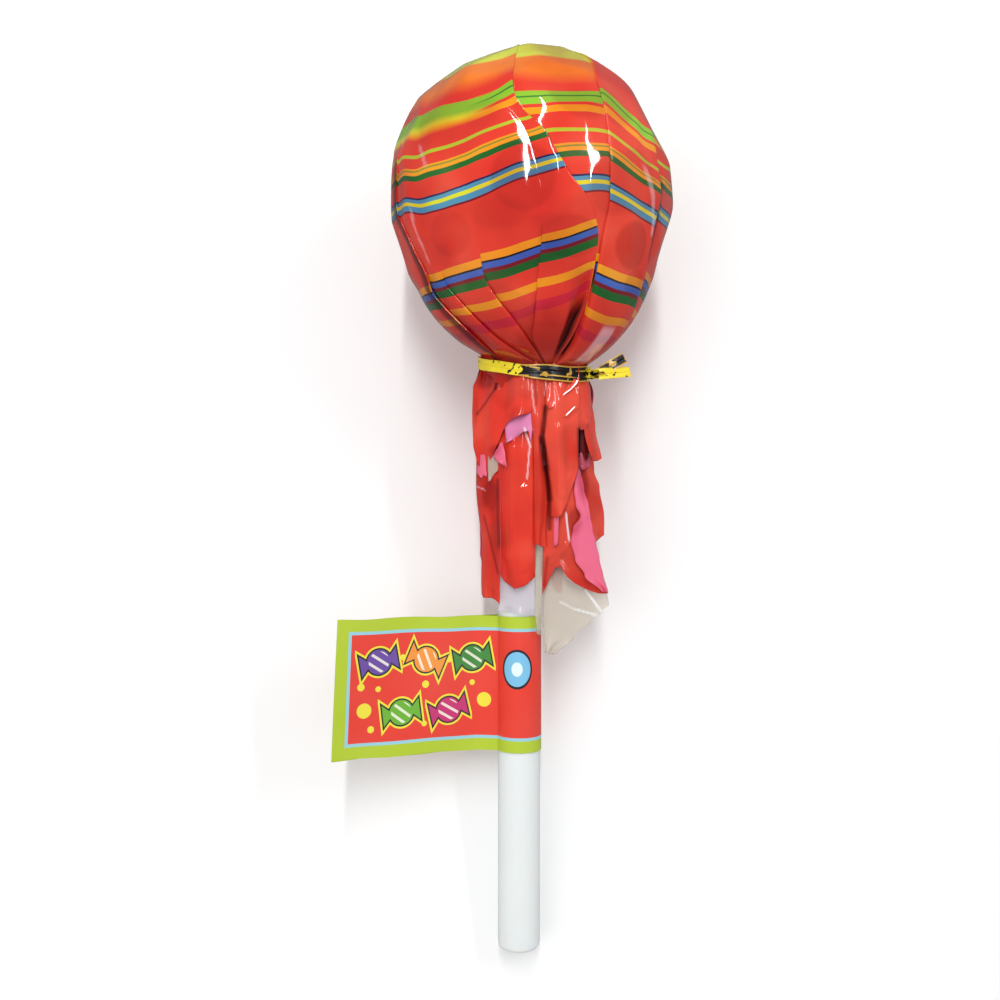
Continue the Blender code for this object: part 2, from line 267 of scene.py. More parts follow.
# Fine waviness of stretched film, shared by every film and foil finish.
def buildFilmWaves():
    group, given, out = newGroup(
        "filmWaves",
        "ShaderNodeTree",
        (
            ("Wave Size", "NodeSocketFloat", 6.0),
            ("Wave Depth", "NodeSocketFloat", 0.3),
            ("Crease Size", "NodeSocketFloat", 3.0),
            ("Crease Depth", "NodeSocketFloat", 0.1),
        ),
        (("Normal", "NodeSocketVector"), ("Crease", "NodeSocketFloat")),
    )
    place = addNode(group, "ShaderNodeTexCoord").outputs["Object"]
    metres = math2(group, "DIVIDE", 1000.0, given["Wave Size"])
    waves = addNode(group, "ShaderNodeTexNoise", Vector=place, Scale=metres, Detail=2.0)
    fine = math2(group, "DIVIDE", 1000.0, given["Crease Size"])
    ridges = addNode(
        group, "ShaderNodeTexNoise", {"noise_type": "RIDGED_MULTIFRACTAL"},
        Vector=place, Scale=fine, Detail=1.5,
    )
    crease = math2(group, "MULTIPLY", ridges.outputs["Fac"], given["Crease Depth"])
    wave = math2(group, "MULTIPLY", waves.outputs["Fac"], given["Wave Depth"])
    height = math2(group, "ADD", wave, crease)
    bump = addNode(group, "ShaderNodeBump", Height=height, Distance=mm)
    group.links.new(bump.outputs["Normal"], out["Normal"])
    group.links.new(ridges.outputs["Fac"], out["Crease"])
    return group


filmWaves = buildFilmWaves()

colours = {
    "filmRed": screenColour(222, 55, 40),
    "filmOrangeRed": screenColour(228, 84, 44),
    "filmDark": screenColour(150, 20, 18),
    # painted shade: the near-black put into deep gaps and folds
    "paintedShadeDark": screenColour(44, 4, 14),
    "reversePink": screenColour(226, 104, 124),
    "violetPink": screenColour(196, 116, 158),
    "lightGreen": screenColour(138, 182, 44),
    "darkGreen": screenColour(26, 92, 34),
    "midGreen": screenColour(56, 120, 42),
    "olive": screenColour(178, 178, 44),
    "orange": screenColour(236, 142, 26),
    "orangeGreen": screenColour(142, 128, 40),
    "steel": screenColour(78, 134, 168),
    "navy": screenColour(30, 34, 78),
    "yellow": screenColour(220, 200, 40),
    "royal": screenColour(62, 92, 176),
    "black": screenColour(24, 20, 34),
    "maroon": screenColour(120, 16, 34),
    "magenta": screenColour(206, 34, 56),
    "crownLime": screenColour(212, 214, 66),
    "crownOrange": screenColour(236, 118, 34),
    "clearFilm": screenColour(222, 214, 198),
    "dotYellow": screenColour(236, 222, 50),
    "stickWhite": screenColour(226, 230, 233),
    "tieYellow": screenColour(252, 236, 54),
    "labelLime": screenColour(176, 200, 30),
    "labelBlue": screenColour(146, 204, 218),
    "labelRed": screenColour(228, 50, 30),
}

# The print's rings: where each starts along the film from the print's middle, in mm.
printSpan = 150.0
crownRings = (
    (0.0, "crownLime"), (41.5, "crownLime"), (43.0, "crownOrange"), (52.0, "crownOrange"), (57.5, "filmRed"),
)
printRings = (
    (0.0, "filmRed"), (60.4, "lightGreen"), (62.2, "midGreen"), (63.0, "lightGreen"),
    (65.3, "filmRed"), (66.4, "orange"), (68.9, "filmRed"), (73.9, "olive"), (75.2, "filmRed"),
    (78.7, "orange"), (79.2, "orangeGreen"), (80.0, "orange"), (80.9, "darkGreen"),
    (82.7, "filmRed"), (88.0, "navy"), (88.6, "steel"), (90.1, "yellow"), (91.4, "steel"),
    (93.0, "maroon"), (93.5, "filmRed"), (111.6, "orange"), (114.0, "black"),
    (114.4, "royal"), (116.6, "maroon"), (117.5, "darkGreen"), (119.7, "filmRed"),
    (123.8, "orange"), (126.1, "filmRed"), (129.5, "magenta"), (132.5, "filmRed"),
)
softRings = (
    (60.4, "lightGreen"), (64.4, "lightGreen"), (66.4, "yellow"), (68.0, "orange"), (69.4, "filmRed"),
)


def rampStops(rings):
    return [(place / printSpan, colours[name]) for place, name in rings]


def makePrintedFilm():
    material, tree, shader = newMaterial("printedFilm")
    uv = addNode(tree, "ShaderNodeUVMap", {"uv_map": "film"})
    place = addNode(tree, "ShaderNodeSeparateXYZ", Vector=uv.outputs[0]).outputs["Y"]
    crown = ramp(tree, place, rampStops(crownRings))
    crown = mixColours(tree, attribute(tree, "redCrown"), crown, colours["filmRed"])
    rings = ramp(tree, place, rampStops(printRings), constant=True)
    soft = ramp(tree, place, rampStops(softRings))
    inSoft = math2(tree, "LESS_THAN", place, 69.4 / printSpan)
    softMask = math2(tree, "MULTIPLY", inSoft, attribute(tree, "softRings"))
    colour = mixColours(tree, softMask, rings, soft)
    inCrown = math2(tree, "LESS_THAN", place, 60.4 / printSpan)
    colour = mixColours(tree, inCrown, colour, crown)
    spot = addNode(tree, "ShaderNodeTexCoord").outputs["Object"]
    pressed = addNode(
        tree, "ShaderNodeTexVoronoi", {"feature": "SMOOTH_F1"}, Vector=spot, Scale=38.0, Smoothness=0.1,
    )
    behind = ramp(
        tree, pressed.outputs["Distance"], ((0.36, (0.8, 0.74, 0.72)), (0.42, (1, 1, 1)), (0.7, (1.0, 1.3, 1.2))),
    )
    bare = math2(tree, "SUBTRACT", 0.8, math2(tree, "MULTIPLY", inCrown, 0.6))
    colour = mixColours(tree, bare, colour, behind, "MULTIPLY")
    broad = addNode(tree, "ShaderNodeTexNoise", Vector=spot, Scale=30.0, Detail=2.0)
    darker = ramp(tree, broad.outputs["Fac"], ((0.36, (0.84, 0.66, 0.78)), (0.5, (1, 1, 1))))
    colour = mixColours(tree, 1.0, colour, darker, "MULTIPLY")
    lighter = ramp(tree, broad.outputs["Fac"], ((0.5, (0, 0, 0)), (0.62, (0.05, 0.035, 0.022))))
    colour = mixColours(tree, 1.0, colour, lighter, "ADD")
    # darker where a second layer lies behind and where painted shade is put (under the tie, beside pleats, broad shaded
    # places)
    layersAndShade = mixColours(tree, attribute(tree, "doubledAndShade"), (1, 1, 1), (0.56, 0.4, 0.42))
    colour = mixColours(tree, 1.0, colour, layersAndShade, "MULTIPLY")
    # painted shade in gaps and deep folds
    colour = mixColours(tree, attribute(tree, "gap"), colour, colours["paintedShadeDark"])
    # whitened creases together with painted highlight and painted reflection streaks
    colour = mixColours(tree, attribute(tree, "whiteningAndHighlight"), colour, screenColour(238, 212, 222))
    waves = placeGroup(tree, filmWaves, Wave_Size=14.0, Wave_Depth=0.12, Crease_Size=12.0, Crease_Depth=0.1)
    tree.links.new(colour, shader.inputs["Base Color"])
    tree.links.new(waves["Normal"], shader.inputs["Normal"])
    rough = math2(tree, "MULTIPLY_ADD", waves["Crease"], 0.04)
    rough.node.inputs[2].default_value = 0.05
    tree.links.new(rough, shader.inputs["Roughness"])
    shader.inputs["IOR"].default_value = 1.58
    return material


def makeReverseFilm(name, colour, shade):
    material, tree, shader = newMaterial(name)
    place = addNode(tree, "ShaderNodeTexCoord").outputs["Object"]
    cloud = addNode(tree, "ShaderNodeTexNoise", Vector=place, Scale=60.0, Detail=2.0)
    colour = mixColours(tree, cloud.outputs["Fac"], colour, shade)
    # darker where a second layer lies behind and where painted shade is put
    layersAndShade = mixColours(tree, attribute(tree, "doubledAndShade"), (1, 1, 1), (0.7, 0.45, 0.5))
    colour = mixColours(tree, 1.0, colour, layersAndShade, "MULTIPLY")
    # painted shade in gaps and deep folds
    colour = mixColours(tree, attribute(tree, "gap"), colour, colours["paintedShadeDark"])
    # whitened creases together with painted highlight
    colour = mixColours(tree, attribute(tree, "whiteningAndHighlight"), colour, (0.9, 0.85, 0.92))
    waves = placeGroup(tree, filmWaves, Wave_Size=9.0, Wave_Depth=0.3, Crease_Size=7.0, Crease_Depth=0.12)
    tree.links.new(colour, shader.inputs["Base Color"])
    tree.links.new(waves["Normal"], shader.inputs["Normal"])
    shader.inputs["Roughness"].default_value = 0.3
    return material


def makeClearFilm():
    material, tree, shader = newMaterial("clearFilm")
    place = addNode(tree, "ShaderNodeTexCoord").outputs["Object"]
    cloud = addNode(tree, "ShaderNodeTexNoise", Vector=place, Scale=45.0, Detail=3.0)
    colour = mixColours(tree, cloud.outputs["Fac"], colours["clearFilm"], screenColour(198, 186, 168))
    colour = mixColours(tree, attribute(tree, "doubledAndShade"), colour, screenColour(222, 214, 224))
    # whitened creases together with painted highlight lines, which also make the film less clear
    whiteningAndHighlight = attribute(tree, "whiteningAndHighlight")
    colour = mixColours(tree, whiteningAndHighlight, colour, (0.95, 0.96, 0.98))
    waves = placeGroup(tree, filmWaves, Wave_Size=14.0, Wave_Depth=0.5, Crease_Size=8.0, Crease_Depth=0.12)
    tree.links.new(colour, shader.inputs["Base Color"])
    tree.links.new(waves["Normal"], shader.inputs["Normal"])
    alpha = math2(tree, "MULTIPLY_ADD", whiteningAndHighlight, 0.4)
    alpha.node.inputs[2].default_value = 0.45
    tree.links.new(alpha, shader.inputs["Alpha"])
    shader.inputs["Roughness"].default_value = 0.12
    return material


printedFilm = makePrintedFilm()
reverseFilm = makeReverseFilm("reverseFilm", colours["reversePink"], screenColour(232, 100, 140))
violetFilm = makeReverseFilm("violetFilm", colours["violetPink"], screenColour(238, 140, 190))
clearFilm = makeClearFilm()
print("film finishes made")


# Geometry Nodes: uneven relief on any film sheet. Both faces of a sheet move alike.
def buildFilmRelief():
    group, given, out = newGroup(
        "filmRelief",
        "GeometryNodeTree",
        (
            ("Film", "NodeSocketGeometry"),
            ("Wave Height", "NodeSocketFloat", 0.5),
            ("Wave Size", "NodeSocketFloat", 22.0),
            ("Crinkle Height", "NodeSocketFloat", 0.15),
            ("Crinkle Size", "NodeSocketFloat", 6.0),
            ("Seed", "NodeSocketFloat", 1.0),
            ("Finish", "NodeSocketMaterial"),
            ("Reverse Finish", "NodeSocketMaterial"),
        ),
        (("Film", "NodeSocketGeometry"),),
    )
    place = addNode(group, "GeometryNodeInputPosition").outputs[0]
    give = addNode(group, "GeometryNodeInputNamedAttribute", {"data_type": "FLOAT"})
    give.inputs["Name"].default_value = "give"
    moved = []
    for height, size in (("Wave Height", "Wave Size"), ("Crinkle Height", "Crinkle Size")):
        scale = math2(group, "DIVIDE", 1000.0, given[size])
        field = addNode(
            group, "ShaderNodeTexNoise", {"noise_dimensions": "4D"},
            Vector=place, W=given["Seed"], Scale=scale, Detail=1.0,
        )
        centred = group.nodes.new("ShaderNodeVectorMath")
        centred.operation = "SUBTRACT"
        group.links.new(field.outputs["Color"], centred.inputs[0])
        centred.inputs[1].default_value = (0.5, 0.5, 0.5)
        strength = math2(group, "MULTIPLY", given[height], 2 * mm)
        strength = math2(group, "MULTIPLY", strength, give.outputs[0])
        sized = group.nodes.new("ShaderNodeVectorMath")
        sized.operation = "SCALE"
        group.links.new(centred.outputs[0], sized.inputs[0])
        group.links.new(strength, sized.inputs["Scale"])
        moved.append(sized.outputs[0])
    total = group.nodes.new("ShaderNodeVectorMath")
    total.operation = "ADD"
    group.links.new(moved[0], total.inputs[0])
    group.links.new(moved[1], total.inputs[1])
    shift = addNode(group, "GeometryNodeSetPosition", Geometry=given["Film"], Offset=total.outputs[0])
    plain = addNode(group, "GeometryNodeRealizeInstances", Geometry=shift.outputs[0])
    slot = addNode(group, "GeometryNodeInputMaterialIndex").outputs[0]
    front = addNode(group, "FunctionNodeCompare", {"data_type": "INT", "operation": "EQUAL"})
    group.links.new(slot, front.inputs[2])
    back = addNode(group, "FunctionNodeCompare", {"data_type": "INT", "operation": "EQUAL"})
    group.links.new(slot, back.inputs[2])
    back.inputs[3].default_value = 1
    face = addNode(
        group, "GeometryNodeSetMaterial", Geometry=plain.outputs[0],
        Selection=front.outputs[0], Material=given["Finish"],
    )
    both = addNode(
        group, "GeometryNodeSetMaterial", Geometry=face.outputs[0],
        Selection=back.outputs[0], Material=given["Reverse Finish"],
    )
    group.links.new(both.outputs[0], out["Film"])
    return group


def runTree(piece, group, settings):  # gives the tree its inputs and keeps the result as a plain mesh
    modifier = piece.modifiers.new(group.name, "NODES")
    modifier.node_group = group
    sockets = {item.name: item.identifier for item in group.interface.items_tree if item.in_out == "INPUT"}
    for label, value in settings.items():
        modifier[sockets[label]] = value
    bpy.context.view_layer.update()
    evaluated = piece.evaluated_get(bpy.context.evaluated_depsgraph_get())
    made = bpy.data.meshes.new_from_object(evaluated, depsgraph=bpy.context.evaluated_depsgraph_get())
    piece.modifiers.clear()
    old = piece.data
    piece.data = made
    bpy.data.meshes.remove(old)
    made.name = piece.name
    return piece


filmRelief = buildFilmRelief()


# The wrapped ball
# Each fold's line as (arc, azimuth), the side that lies on top (1 left, -1 right) and its height.
folds = {
    "farLeft": {
        "line": (
            (0, -78), (60, -69), (73, -68), (85, -71), (91, -69), (103, -65), (111, -63), (117, -64),
            (123, -60), (127, -56), (132, -51), (139, -46), (145.3, -42),
        ),
        "top": 1,
        "height": ((60, 0), (75, 0.5), (100, 0.7), (118, 1.4), (135, 1.5), (145.3, 0.4)),
    },
    "leftLow": {
        "line": ((0, -52), (112, -50), (116, -50), (119, -48), (124, -43), (129, -37), (135, -28), (141, -13), (145.3, 3)),
        "top": 1,
        "height": ((108, 0), (114, 0.5), (124, 1.1), (136, 1.4), (142, 1.0), (145.3, 0.3)),
    },
    "midLow": {
        "line": ((0, -30), (105, -25), (116, -25), (122, -21), (127, -15), (133, -8), (140, 1), (145.3, 8)),
        "top": 1,
        "height": ((106, 0), (113, 0.6), (124, 1.3), (136, 1.6), (142, 1.1), (145.3, 0.3)),
    },
    "centreLow": {
        "line": ((0, -20), (58, -14), (72, -4), (85, 1), (100, 3), (108, 3), (113, 2), (120, 1), (129, -1), (134, -2), (140, 5), (145.3, 12)),
        "top": -1,
        "height": ((98, 0), (106, 0.4), (120, 0.8), (134, 1.2), (142, 0.9), (145.3, 0.3)),
    },
    "slant": {
        "line": ((0, -12), (50, -9), (60.6, -8), (66, -5), (73, 3), (80, 8), (86.5, 13), (90, 17), (96, 23), (102, 27.6), (108, 28.6), (130, 28.4), (145.3, 18)),
        "top": 1,
        "height": ((15, 0), (28, 0.35), (60, 0.6), (86, 0.8), (96, 0.5), (101, 0)),
    },
    "right": {
        "line": ((0, 40), (30, 36), (40, 33), (48, 29), (58, 27.2), (64, 28), (80, 28.4), (93, 30), (130, 30), (139, 28), (145.3, 20)),
        "top": -1,
        "height": ((12, 0), (30, 0.5), (60, 0.8), (95, 0.9), (110, 1.5), (119, 2.2), (130, 2.8), (139, 2.2), (145.3, 0.4)),
    },
    "farRight": {
        "line": ((0, 62), (60, 55), (75, 56), (82, 57.5), (92, 59), (98, 61), (107, 63), (115, 67), (124, 71), (133, 68), (140, 61), (145.3, 54)),
        "top": 1,
        "height": ((40, 0), (70, 0.8), (100, 1.2), (115, 1.6), (130, 1.9), (140, 1.4), (145.3, 0.4)),
    },
    "rightEdge": {
        "line": ((0, 88), (80, 86), (110, 92), (145.3, 88)),
        "top": 1,
        "height": ((50, 0), (85, 1.0), (120, 1.8), (145.3, 0.4)),
    },
}
# What each point of a film carries: darkening from a second layer behind and from painted shade, whitening with painted
# highlight, painted shade in gaps and deep folds, blurred rings, how far the sheet gives, and a plain red crown.
filmAttributes = ("doubledAndShade", "whiteningAndHighlight", "gap", "softRings", "give", "redCrown")
hiddenFolds = {"first": 112.0, "last": 262.0, "count": 7, "sway": 4.0, "seed": 5}
headGrid = {"rowStep": 0.75, "columnStep": 1.15, "firstArc": 0.8}
# The film's spare width between two folds moves its print: (azimuth, mm up) above and below arc 105.
leftShift = (
    (-75, -6), (-68, -3.9), (-60, -3.2), (-51, -0.7), (-43, -0.2), (-35, 0), (-26, -0.6), (-18, -1.9),
    (-11, -4), (-6, -5.4), (-2, -6), (3, -7.2), (9, -8.7), (14, -9.9), (22, -12.6), (26, -14), (30, -15),
)
printShift = {
    "beforeFarLeft": (((-100, -6), (-75, -5.0), (-66, -4.5)), ((-100, 0), (-66, 2.2), (-55, 2.6))),
    "farLeft": (leftShift, ((-66, -1.4), (-59, -0.6), (-50, -0.5), (-30, -0.5))),
    "leftLow": (leftShift, ((-52, -0.6), (-37, -1.0), (-26, -1.8), (-18, -2.8), (-5, -4.0))),
    "midLow": (leftShift, ((-26, -3.1), (-14, -4.2), (-5, -5.8), (3, -7.4))),
    "centreLow": (leftShift, ((-4, -7.4), (3, -8.1), (11, -9.4), (20, -11.6), (26, -13.4), (30, -14.4))),
    "slant": (((2, -1.2), (27, -3.7)), ((2, -3.0), (30, -4.0))),
    "right": (((28, -4.5), (34, -2.1), (40, 0.5), (47, 3.7), (55, 4.0)), ((28, -1.6), (34, -0.8), (44, 0.0), (62, -0.4))),
    "farRight": (((60, -1.5), (67, -1.7), (80, -3.5)), ((62, -4.0), (70, -4.5), (90, -5.0))),
}
rightFade = ((60, 1.0), (75, 0.65), (90, 0.35), (115, 0.05))
# Where the film stands out of (+) or into (-) the ball: azimuth, arc, reach of each, mm.
headDents = (
    (-90, 46, 42, 24, 1.9), (90, 50, 46, 34, -2.4), (78, 26, 40, 14, -1.2), (-55, 22, 30, 12, -0.8),
    (42, 70, 14, 24, -0.9), (15, 52, 16, 12, -0.5), (-40, 60, 22, 22, 0.5), (-20, 100, 20, 18, 0.4),
    (45, 108, 14, 14, 0.6), (14, 112, 11, 12, 0.5),
)
# The taut film spans the sweets behind it in flat facets, with soft edges between them.
facets = {
    "count": 84, "jitter": 0.09, "halfAngle": 0.155, "crispness": 240.0, "strength": 0.72,
    "fadeFrom": 98.0, "fadeTo": 124.0, "seed": 12,
    "set": ((-3.5, 69.0), (-3.5, 84.0), (17.0, 74.0)), "clearOf": 0.24,
}
# Small sharp crumples beside the slanting fold: how far out, between which arcs, and how much more.
crumple = {"reach": 7.0, "from": 62.0, "to": 96.0, "extra": 2.6}
# Rounded darker patches: azimuth, arc, half sizes in mm, strength.
filmPatches = (
    (47, 103, 8.0, 7.0, 0.5), (15, 104, 10.0, 6.0, 0.34), (56, 113, 5.0, 4.0, 0.3),
    (-14, 97, 9.0, 5.0, 0.14), (-66, 104, 4.0, 12.0, 0.25), (6, 137, 8.0, 9.0, 0.18),
    (-38, 101, 8.0, 7.0, 0.22), (-20, 124, 9.0, 6.0, 0.16), (16, 125, 7.0, 5.0, 0.16),
)
# Painted reflection: whitish streaks on the film, two ends as (azimuth, arc), half width in mm, strength.
paintedReflectionStreaks = (
    (45, 78, 57, 94, 1.1, 0.28), (57, 92, 60, 98, 0.9, 0.32), (-57.5, 88, -57, 109, 0.5, 0.28),
    (50, 126, 46, 143, 3.3, 0.42), (-50, 70, -44, 80, 0.8, 0.22),
)


def buildProfile():  # (arc, radius, height, share of the way to the waist) down the film's side
    radius = pack["ballRadius"]
    shoulder = math.radians(pack["shoulderAngle"])
    made = []
    steps = 240
    for step in range(steps + 1):
        angle = shoulder * step / steps
        made.append([radius * math.sin(angle), radius * math.cos(angle), 0.0])
    start = Vector((math.sin(shoulder), math.cos(shoulder))) * radius
    leave = Vector((math.cos(shoulder), -math.sin(shoulder)))
    end = Vector((pack["waistRadius"], pack["waistTop"]))
    arrive = Vector((-0.80, -0.60))
    high = start + leave * pack["bagFullness"]
    low = end - arrive * pack["bagFullness"]
    for step in range(1, steps + 1):
        share = step / steps
        rest = 1 - share
        spot = start * rest**3 + high * 3 * rest**2 * share + low * 3 * rest * share**2 + end * share**3
        made.append([spot.x, spot.y, share])
    arc = 0.0
    arcs = [0.0]
    for before, after in zip(made, made[1:]):
        arc += math.hypot(after[0] - before[0], after[1] - before[1])
        arcs.append(arc)
    return arcs, made


profileArcs, profile = buildProfile()
waistArc = profileArcs[-1]


def profileAt(arc):  # radius, height, waist share, and the outward direction as (out, up)
    index = min(max(bisect.bisect_right(profileArcs, arc), 1), len(profile) - 1)
    share = (arc - profileArcs[index - 1]) / (profileArcs[index] - profileArcs[index - 1])
    low, high = profile[index - 1], profile[index]
    spot = [a + (b - a) * share for a, b in zip(low, high)]
    run = Vector((high[0] - low[0], high[1] - low[1])).normalized()
    return spot[0], spot[1], spot[2], -run.y, run.x


def waistDrop(azimuth, radius):
    angle = math.radians(azimuth)
    slope = math.tan(math.radians(pack["waistSlope"])) * math.sin(angle)
    dip = math.tan(math.radians(pack["waistDip"])) * math.cos(angle)
    return radius * (slope + dip)


def headPoint(azimuth, arc, lift):
    radius, height, waist, out, up = profileAt(arc)
    reach = radius + lift * out
    angle = math.radians(azimuth)
    drop = waist**2 * waistDrop(azimuth, reach)
    across = pack["waistOffset"] * waist + reach * math.sin(angle)
    return (across, -reach * math.cos(angle), height + lift * up - drop)


def turnBetween(a, b):  # degrees from b to a, the short way round
    return (a - b + 180) % 360 - 180


def allFolds():
    found = [(name, dict(fold)) for name, fold in folds.items()]
    draw = random.Random(hiddenFolds["seed"])
    for index in range(hiddenFolds["count"]):
        share = index / (hiddenFolds["count"] - 1)
        azimuth = hiddenFolds["first"] + (hiddenFolds["last"] - hiddenFolds["first"]) * share
        sway = hiddenFolds["sway"]
        line = [(arc, azimuth + draw.uniform(-sway, sway)) for arc in (0, 50, 80, 105, 120, 133)]
        line.append((waistArc, azimuth + draw.uniform(-sway, sway)))
        starts = draw.uniform(30, 95)
        tall = draw.uniform(0.9, 1.8)
        height = ((starts, 0), (starts + 20, tall * 0.4), (118, tall * 0.8), (135, tall), (waistArc, 0.4))
        found.append((f"hidden{index}", {"line": line, "top": 1 if index % 3 else -1, "height": height}))
        printShift[f"hidden{index}"] = (((0, draw.uniform(-4, 3)),), ((0, draw.uniform(-6, 2)),))
    return found


def shiftOf(panel, azimuth, arc):
    key = panel
    turned = azimuth
    if panel == "rightEdge":
        return between(((60, -3.0), (120, -5.0)), arc)
    if panel == "hiddenLast":
        key = "beforeFarLeft"
        turned = azimuth - 360
    upper, lower = printShift[key]
    high = curved(upper, turned)
    low = curved(lower, turned)
    if panel == "right":
        high *= between(rightFade, arc)
    if key == "beforeFarLeft":
        low = between(((-140, -3), (-100, 0), (-66, 2.2)), turned)
    return high + (low - high) * smooth((arc - 98) / 12)


def headRow(arc, edges, counts):  # every column at this arc: (azimuth, lift, print place, panel, raised)
    columns = []
    radius = max(profileAt(arc)[0], 3.0)
    degree = 180 / math.pi / radius  # degrees in one mm along the film
    total = len(edges)
    for index, (name, fold) in enumerate(edges):
        following = edges[(index + 1) % total][1]
        wrap = 360 if index == total - 1 else 0
        panel = "hiddenLast" if index == total - 1 else name
        left = curved(fold["line"], arc)
        right = curved(following["line"], arc) + wrap
        leftHigh = eased(fold["height"], arc)
        rightHigh = eased(following["height"], arc)
        folded = min(1.0, leftHigh / 0.5)
        foot = (0.3 - folded * (0.3 + 0.35 * leftHigh)) * degree  # past the fold, or tucked under it
        foldedRight = min(1.0, rightHigh / 0.5)
        footRight = (0.3 - foldedRight * (0.3 + 0.35 * rightHigh)) * degree
        first = left + (foot if fold["top"] > 0 else 0.0)
        last = right - (footRight if following["top"] < 0 else 0.0)
        count = counts[index]
        width = (right - left) / degree
        swell = 0.25 * smooth((arc - 20) / 60) + 0.9 * smooth((arc - 108) / 22)
        swell *= min(1.0, width / 16) * (1 - 0.8 * smooth((arc - 134) / 12))
        for step in range(count):
            share = step / (count - 1)
            azimuth = first + (last - first) * share
            lift = swell * (4 * share * (1 - share)) ** 0.8
            if fold["top"] < 0:
                lift += leftHigh * (1 - share) ** 2.2
            if following["top"] > 0:
                lift += rightHigh * share**2.2
            if panel in ("centreLow", "slant"):  # the deep gap left of the right-hand fold
                deep = eased(((108, 0), (118, 1.6), (130, 3.6), (138, 2.4), (waistArc, 0)), arc)
                lift -= deep * smooth((share - 0.55) / 0.45 if panel == "centreLow" else 1.0)
            columns.append((azimuth, lift, arc - shiftOf(panel, azimuth, arc), panel, share))
        nextPanel = "hiddenLast" if index == total - 2 else edges[(index + 1) % total][0]
        turn = 1 if following["top"] > 0 else -1
        base = columns[-1][1] if turn > 0 else 0.0
        lowSide = 0.0
        if edges[(index + 1) % total][0] == "right":
            lowSide = columns[-1][1]
        flat = (0.1, 0.2)
        tucked = (0.25 + 0.1 * rightHigh, 0.12)
        riser = []
        for step in range(2):
            offset = flat[step] + (tucked[step] - flat[step]) * foldedRight
            level = (0.62, 0.2)[step]
            if turn > 0:
                place = right + offset * degree
                topPanel, topPlace = panel, right
                high = base
            else:
                place = right - offset * degree
                topPanel, topPlace = nextPanel, right
                high = rightHigh
            lift = lowSide + (high - lowSide) * level
            if step == 0:
                printed = arc - shiftOf(topPanel, topPlace - (360 if wrap and topPanel == nextPanel else 0), arc)
            else:
                lowPanel = nextPanel if turn > 0 else panel
                printed = arc - shiftOf(lowPanel, topPlace - (360 if wrap and lowPanel == nextPanel else 0), arc)
            riser.append((place, lift, printed, "riser", 0.5))
        columns.extend(riser if turn > 0 else riser[::-1])
    return columns


def headValues(azimuth, arc, panel, share):  # the film's attributes at one place, in filmAttributes' order
    radius = max(profileAt(arc)[0], 5.0)
    reach = math.radians(1) * radius
    # darker towards the neck
    doubledAndShade = 0.17 * smooth((arc - 96) / 22) + 0.42 * smooth((arc - 122) / 14)
    for centre, middle, across, along, strength in filmPatches:
        far = math.hypot(turnBetween(azimuth, centre) * reach / across, (arc - middle) / along)
        doubledAndShade += strength * smooth((1.12 - far) / 0.2)
    # painted shadow cast by the film that lies on top at the far-left fold
    if panel == "farLeft":
        doubledAndShade += 0.55 * smooth((arc - 108) / 6) * smooth((0.8 - share) / 0.5)
    if panel == "hiddenLast" or panel.startswith("hidden"):
        doubledAndShade += 0.12
    # painted reflection streaks
    whiteningAndHighlight = 0.0
    for startTurn, startArc, endTurn, endArc, half, strength in paintedReflectionStreaks:
        along = (arc - startArc) / (endArc - startArc)
        middle = startTurn + (endTurn - startTurn) * along
        side = abs(turnBetween(azimuth, middle)) * reach / half
        ends = smooth(along / 0.15) * smooth((1 - along) / 0.15) if 0 < along < 1 else 0.0
        whiteningAndHighlight += strength * ends * smooth((1.3 - side) / 0.5)
    # painted shade in deep gaps beside folds and under the pleats that lie on top
    gap = 0.0
    if panel == "centreLow":
        gap = smooth((share - 0.6) / 0.1) * smooth((arc - 119) / 8) * smooth((144 - arc) / 6)
    if panel == "slant":
        gap = smooth((arc - 116) / 6) * smooth((144 - arc) / 6)
    if panel in ("farLeft", "leftLow", "midLow"):  # under the pleat on its left
        gap = 0.6 * smooth((0.13 - share) / 0.11) * smooth((arc - 114) / 10)
    if panel == "midLow":
        gap = max(gap, 0.6 * smooth((share - 0.87) / 0.11) * smooth((arc - 120) / 8))
    if panel == "farRight":
        gap = 0.85 * smooth((0.22 - share) / 0.12) * smooth((arc - 74) / 10)
    if panel == "hiddenLast":
        gap = 0.8 * smooth((share - 0.8) / 0.14) * smooth((arc - 62) / 12)
    turned = turnBetween(azimuth, 0)
    soft = smooth((-14 - turned) / 14) * smooth((turned + 120) / 20)
    give = smooth(arc / 20) * (1 - 0.85 * smooth((arc - 132) / 10))
    give *= 1 - 0.5 * smooth((60 - abs(turnBetween(azimuth, 180))) / 30)
    beside = abs(turned - curved(folds["slant"]["line"], arc)) * reach / crumple["reach"]
    crumpled = smooth((arc - crumple["from"]) / 6) * smooth((crumple["to"] - arc) / 6)
    give += crumple["extra"] * smooth(1 - beside) * crumpled
    redCrown = smooth((arc - 26) / 8) if panel in ("right", "farRight", "rightEdge") else 0.0
    return min(doubledAndShade, 1.0), min(whiteningAndHighlight, 1.0), min(gap, 1.0), soft, give, redCrown


def ballWay(azimuth, arc):  # the direction out of the ball's centre to a place on the film
    turned = math.radians(azimuth)
    down = arc / pack["ballRadius"]
    return Vector((math.sin(down) * math.sin(turned), -math.sin(down) * math.cos(turned), math.cos(down)))


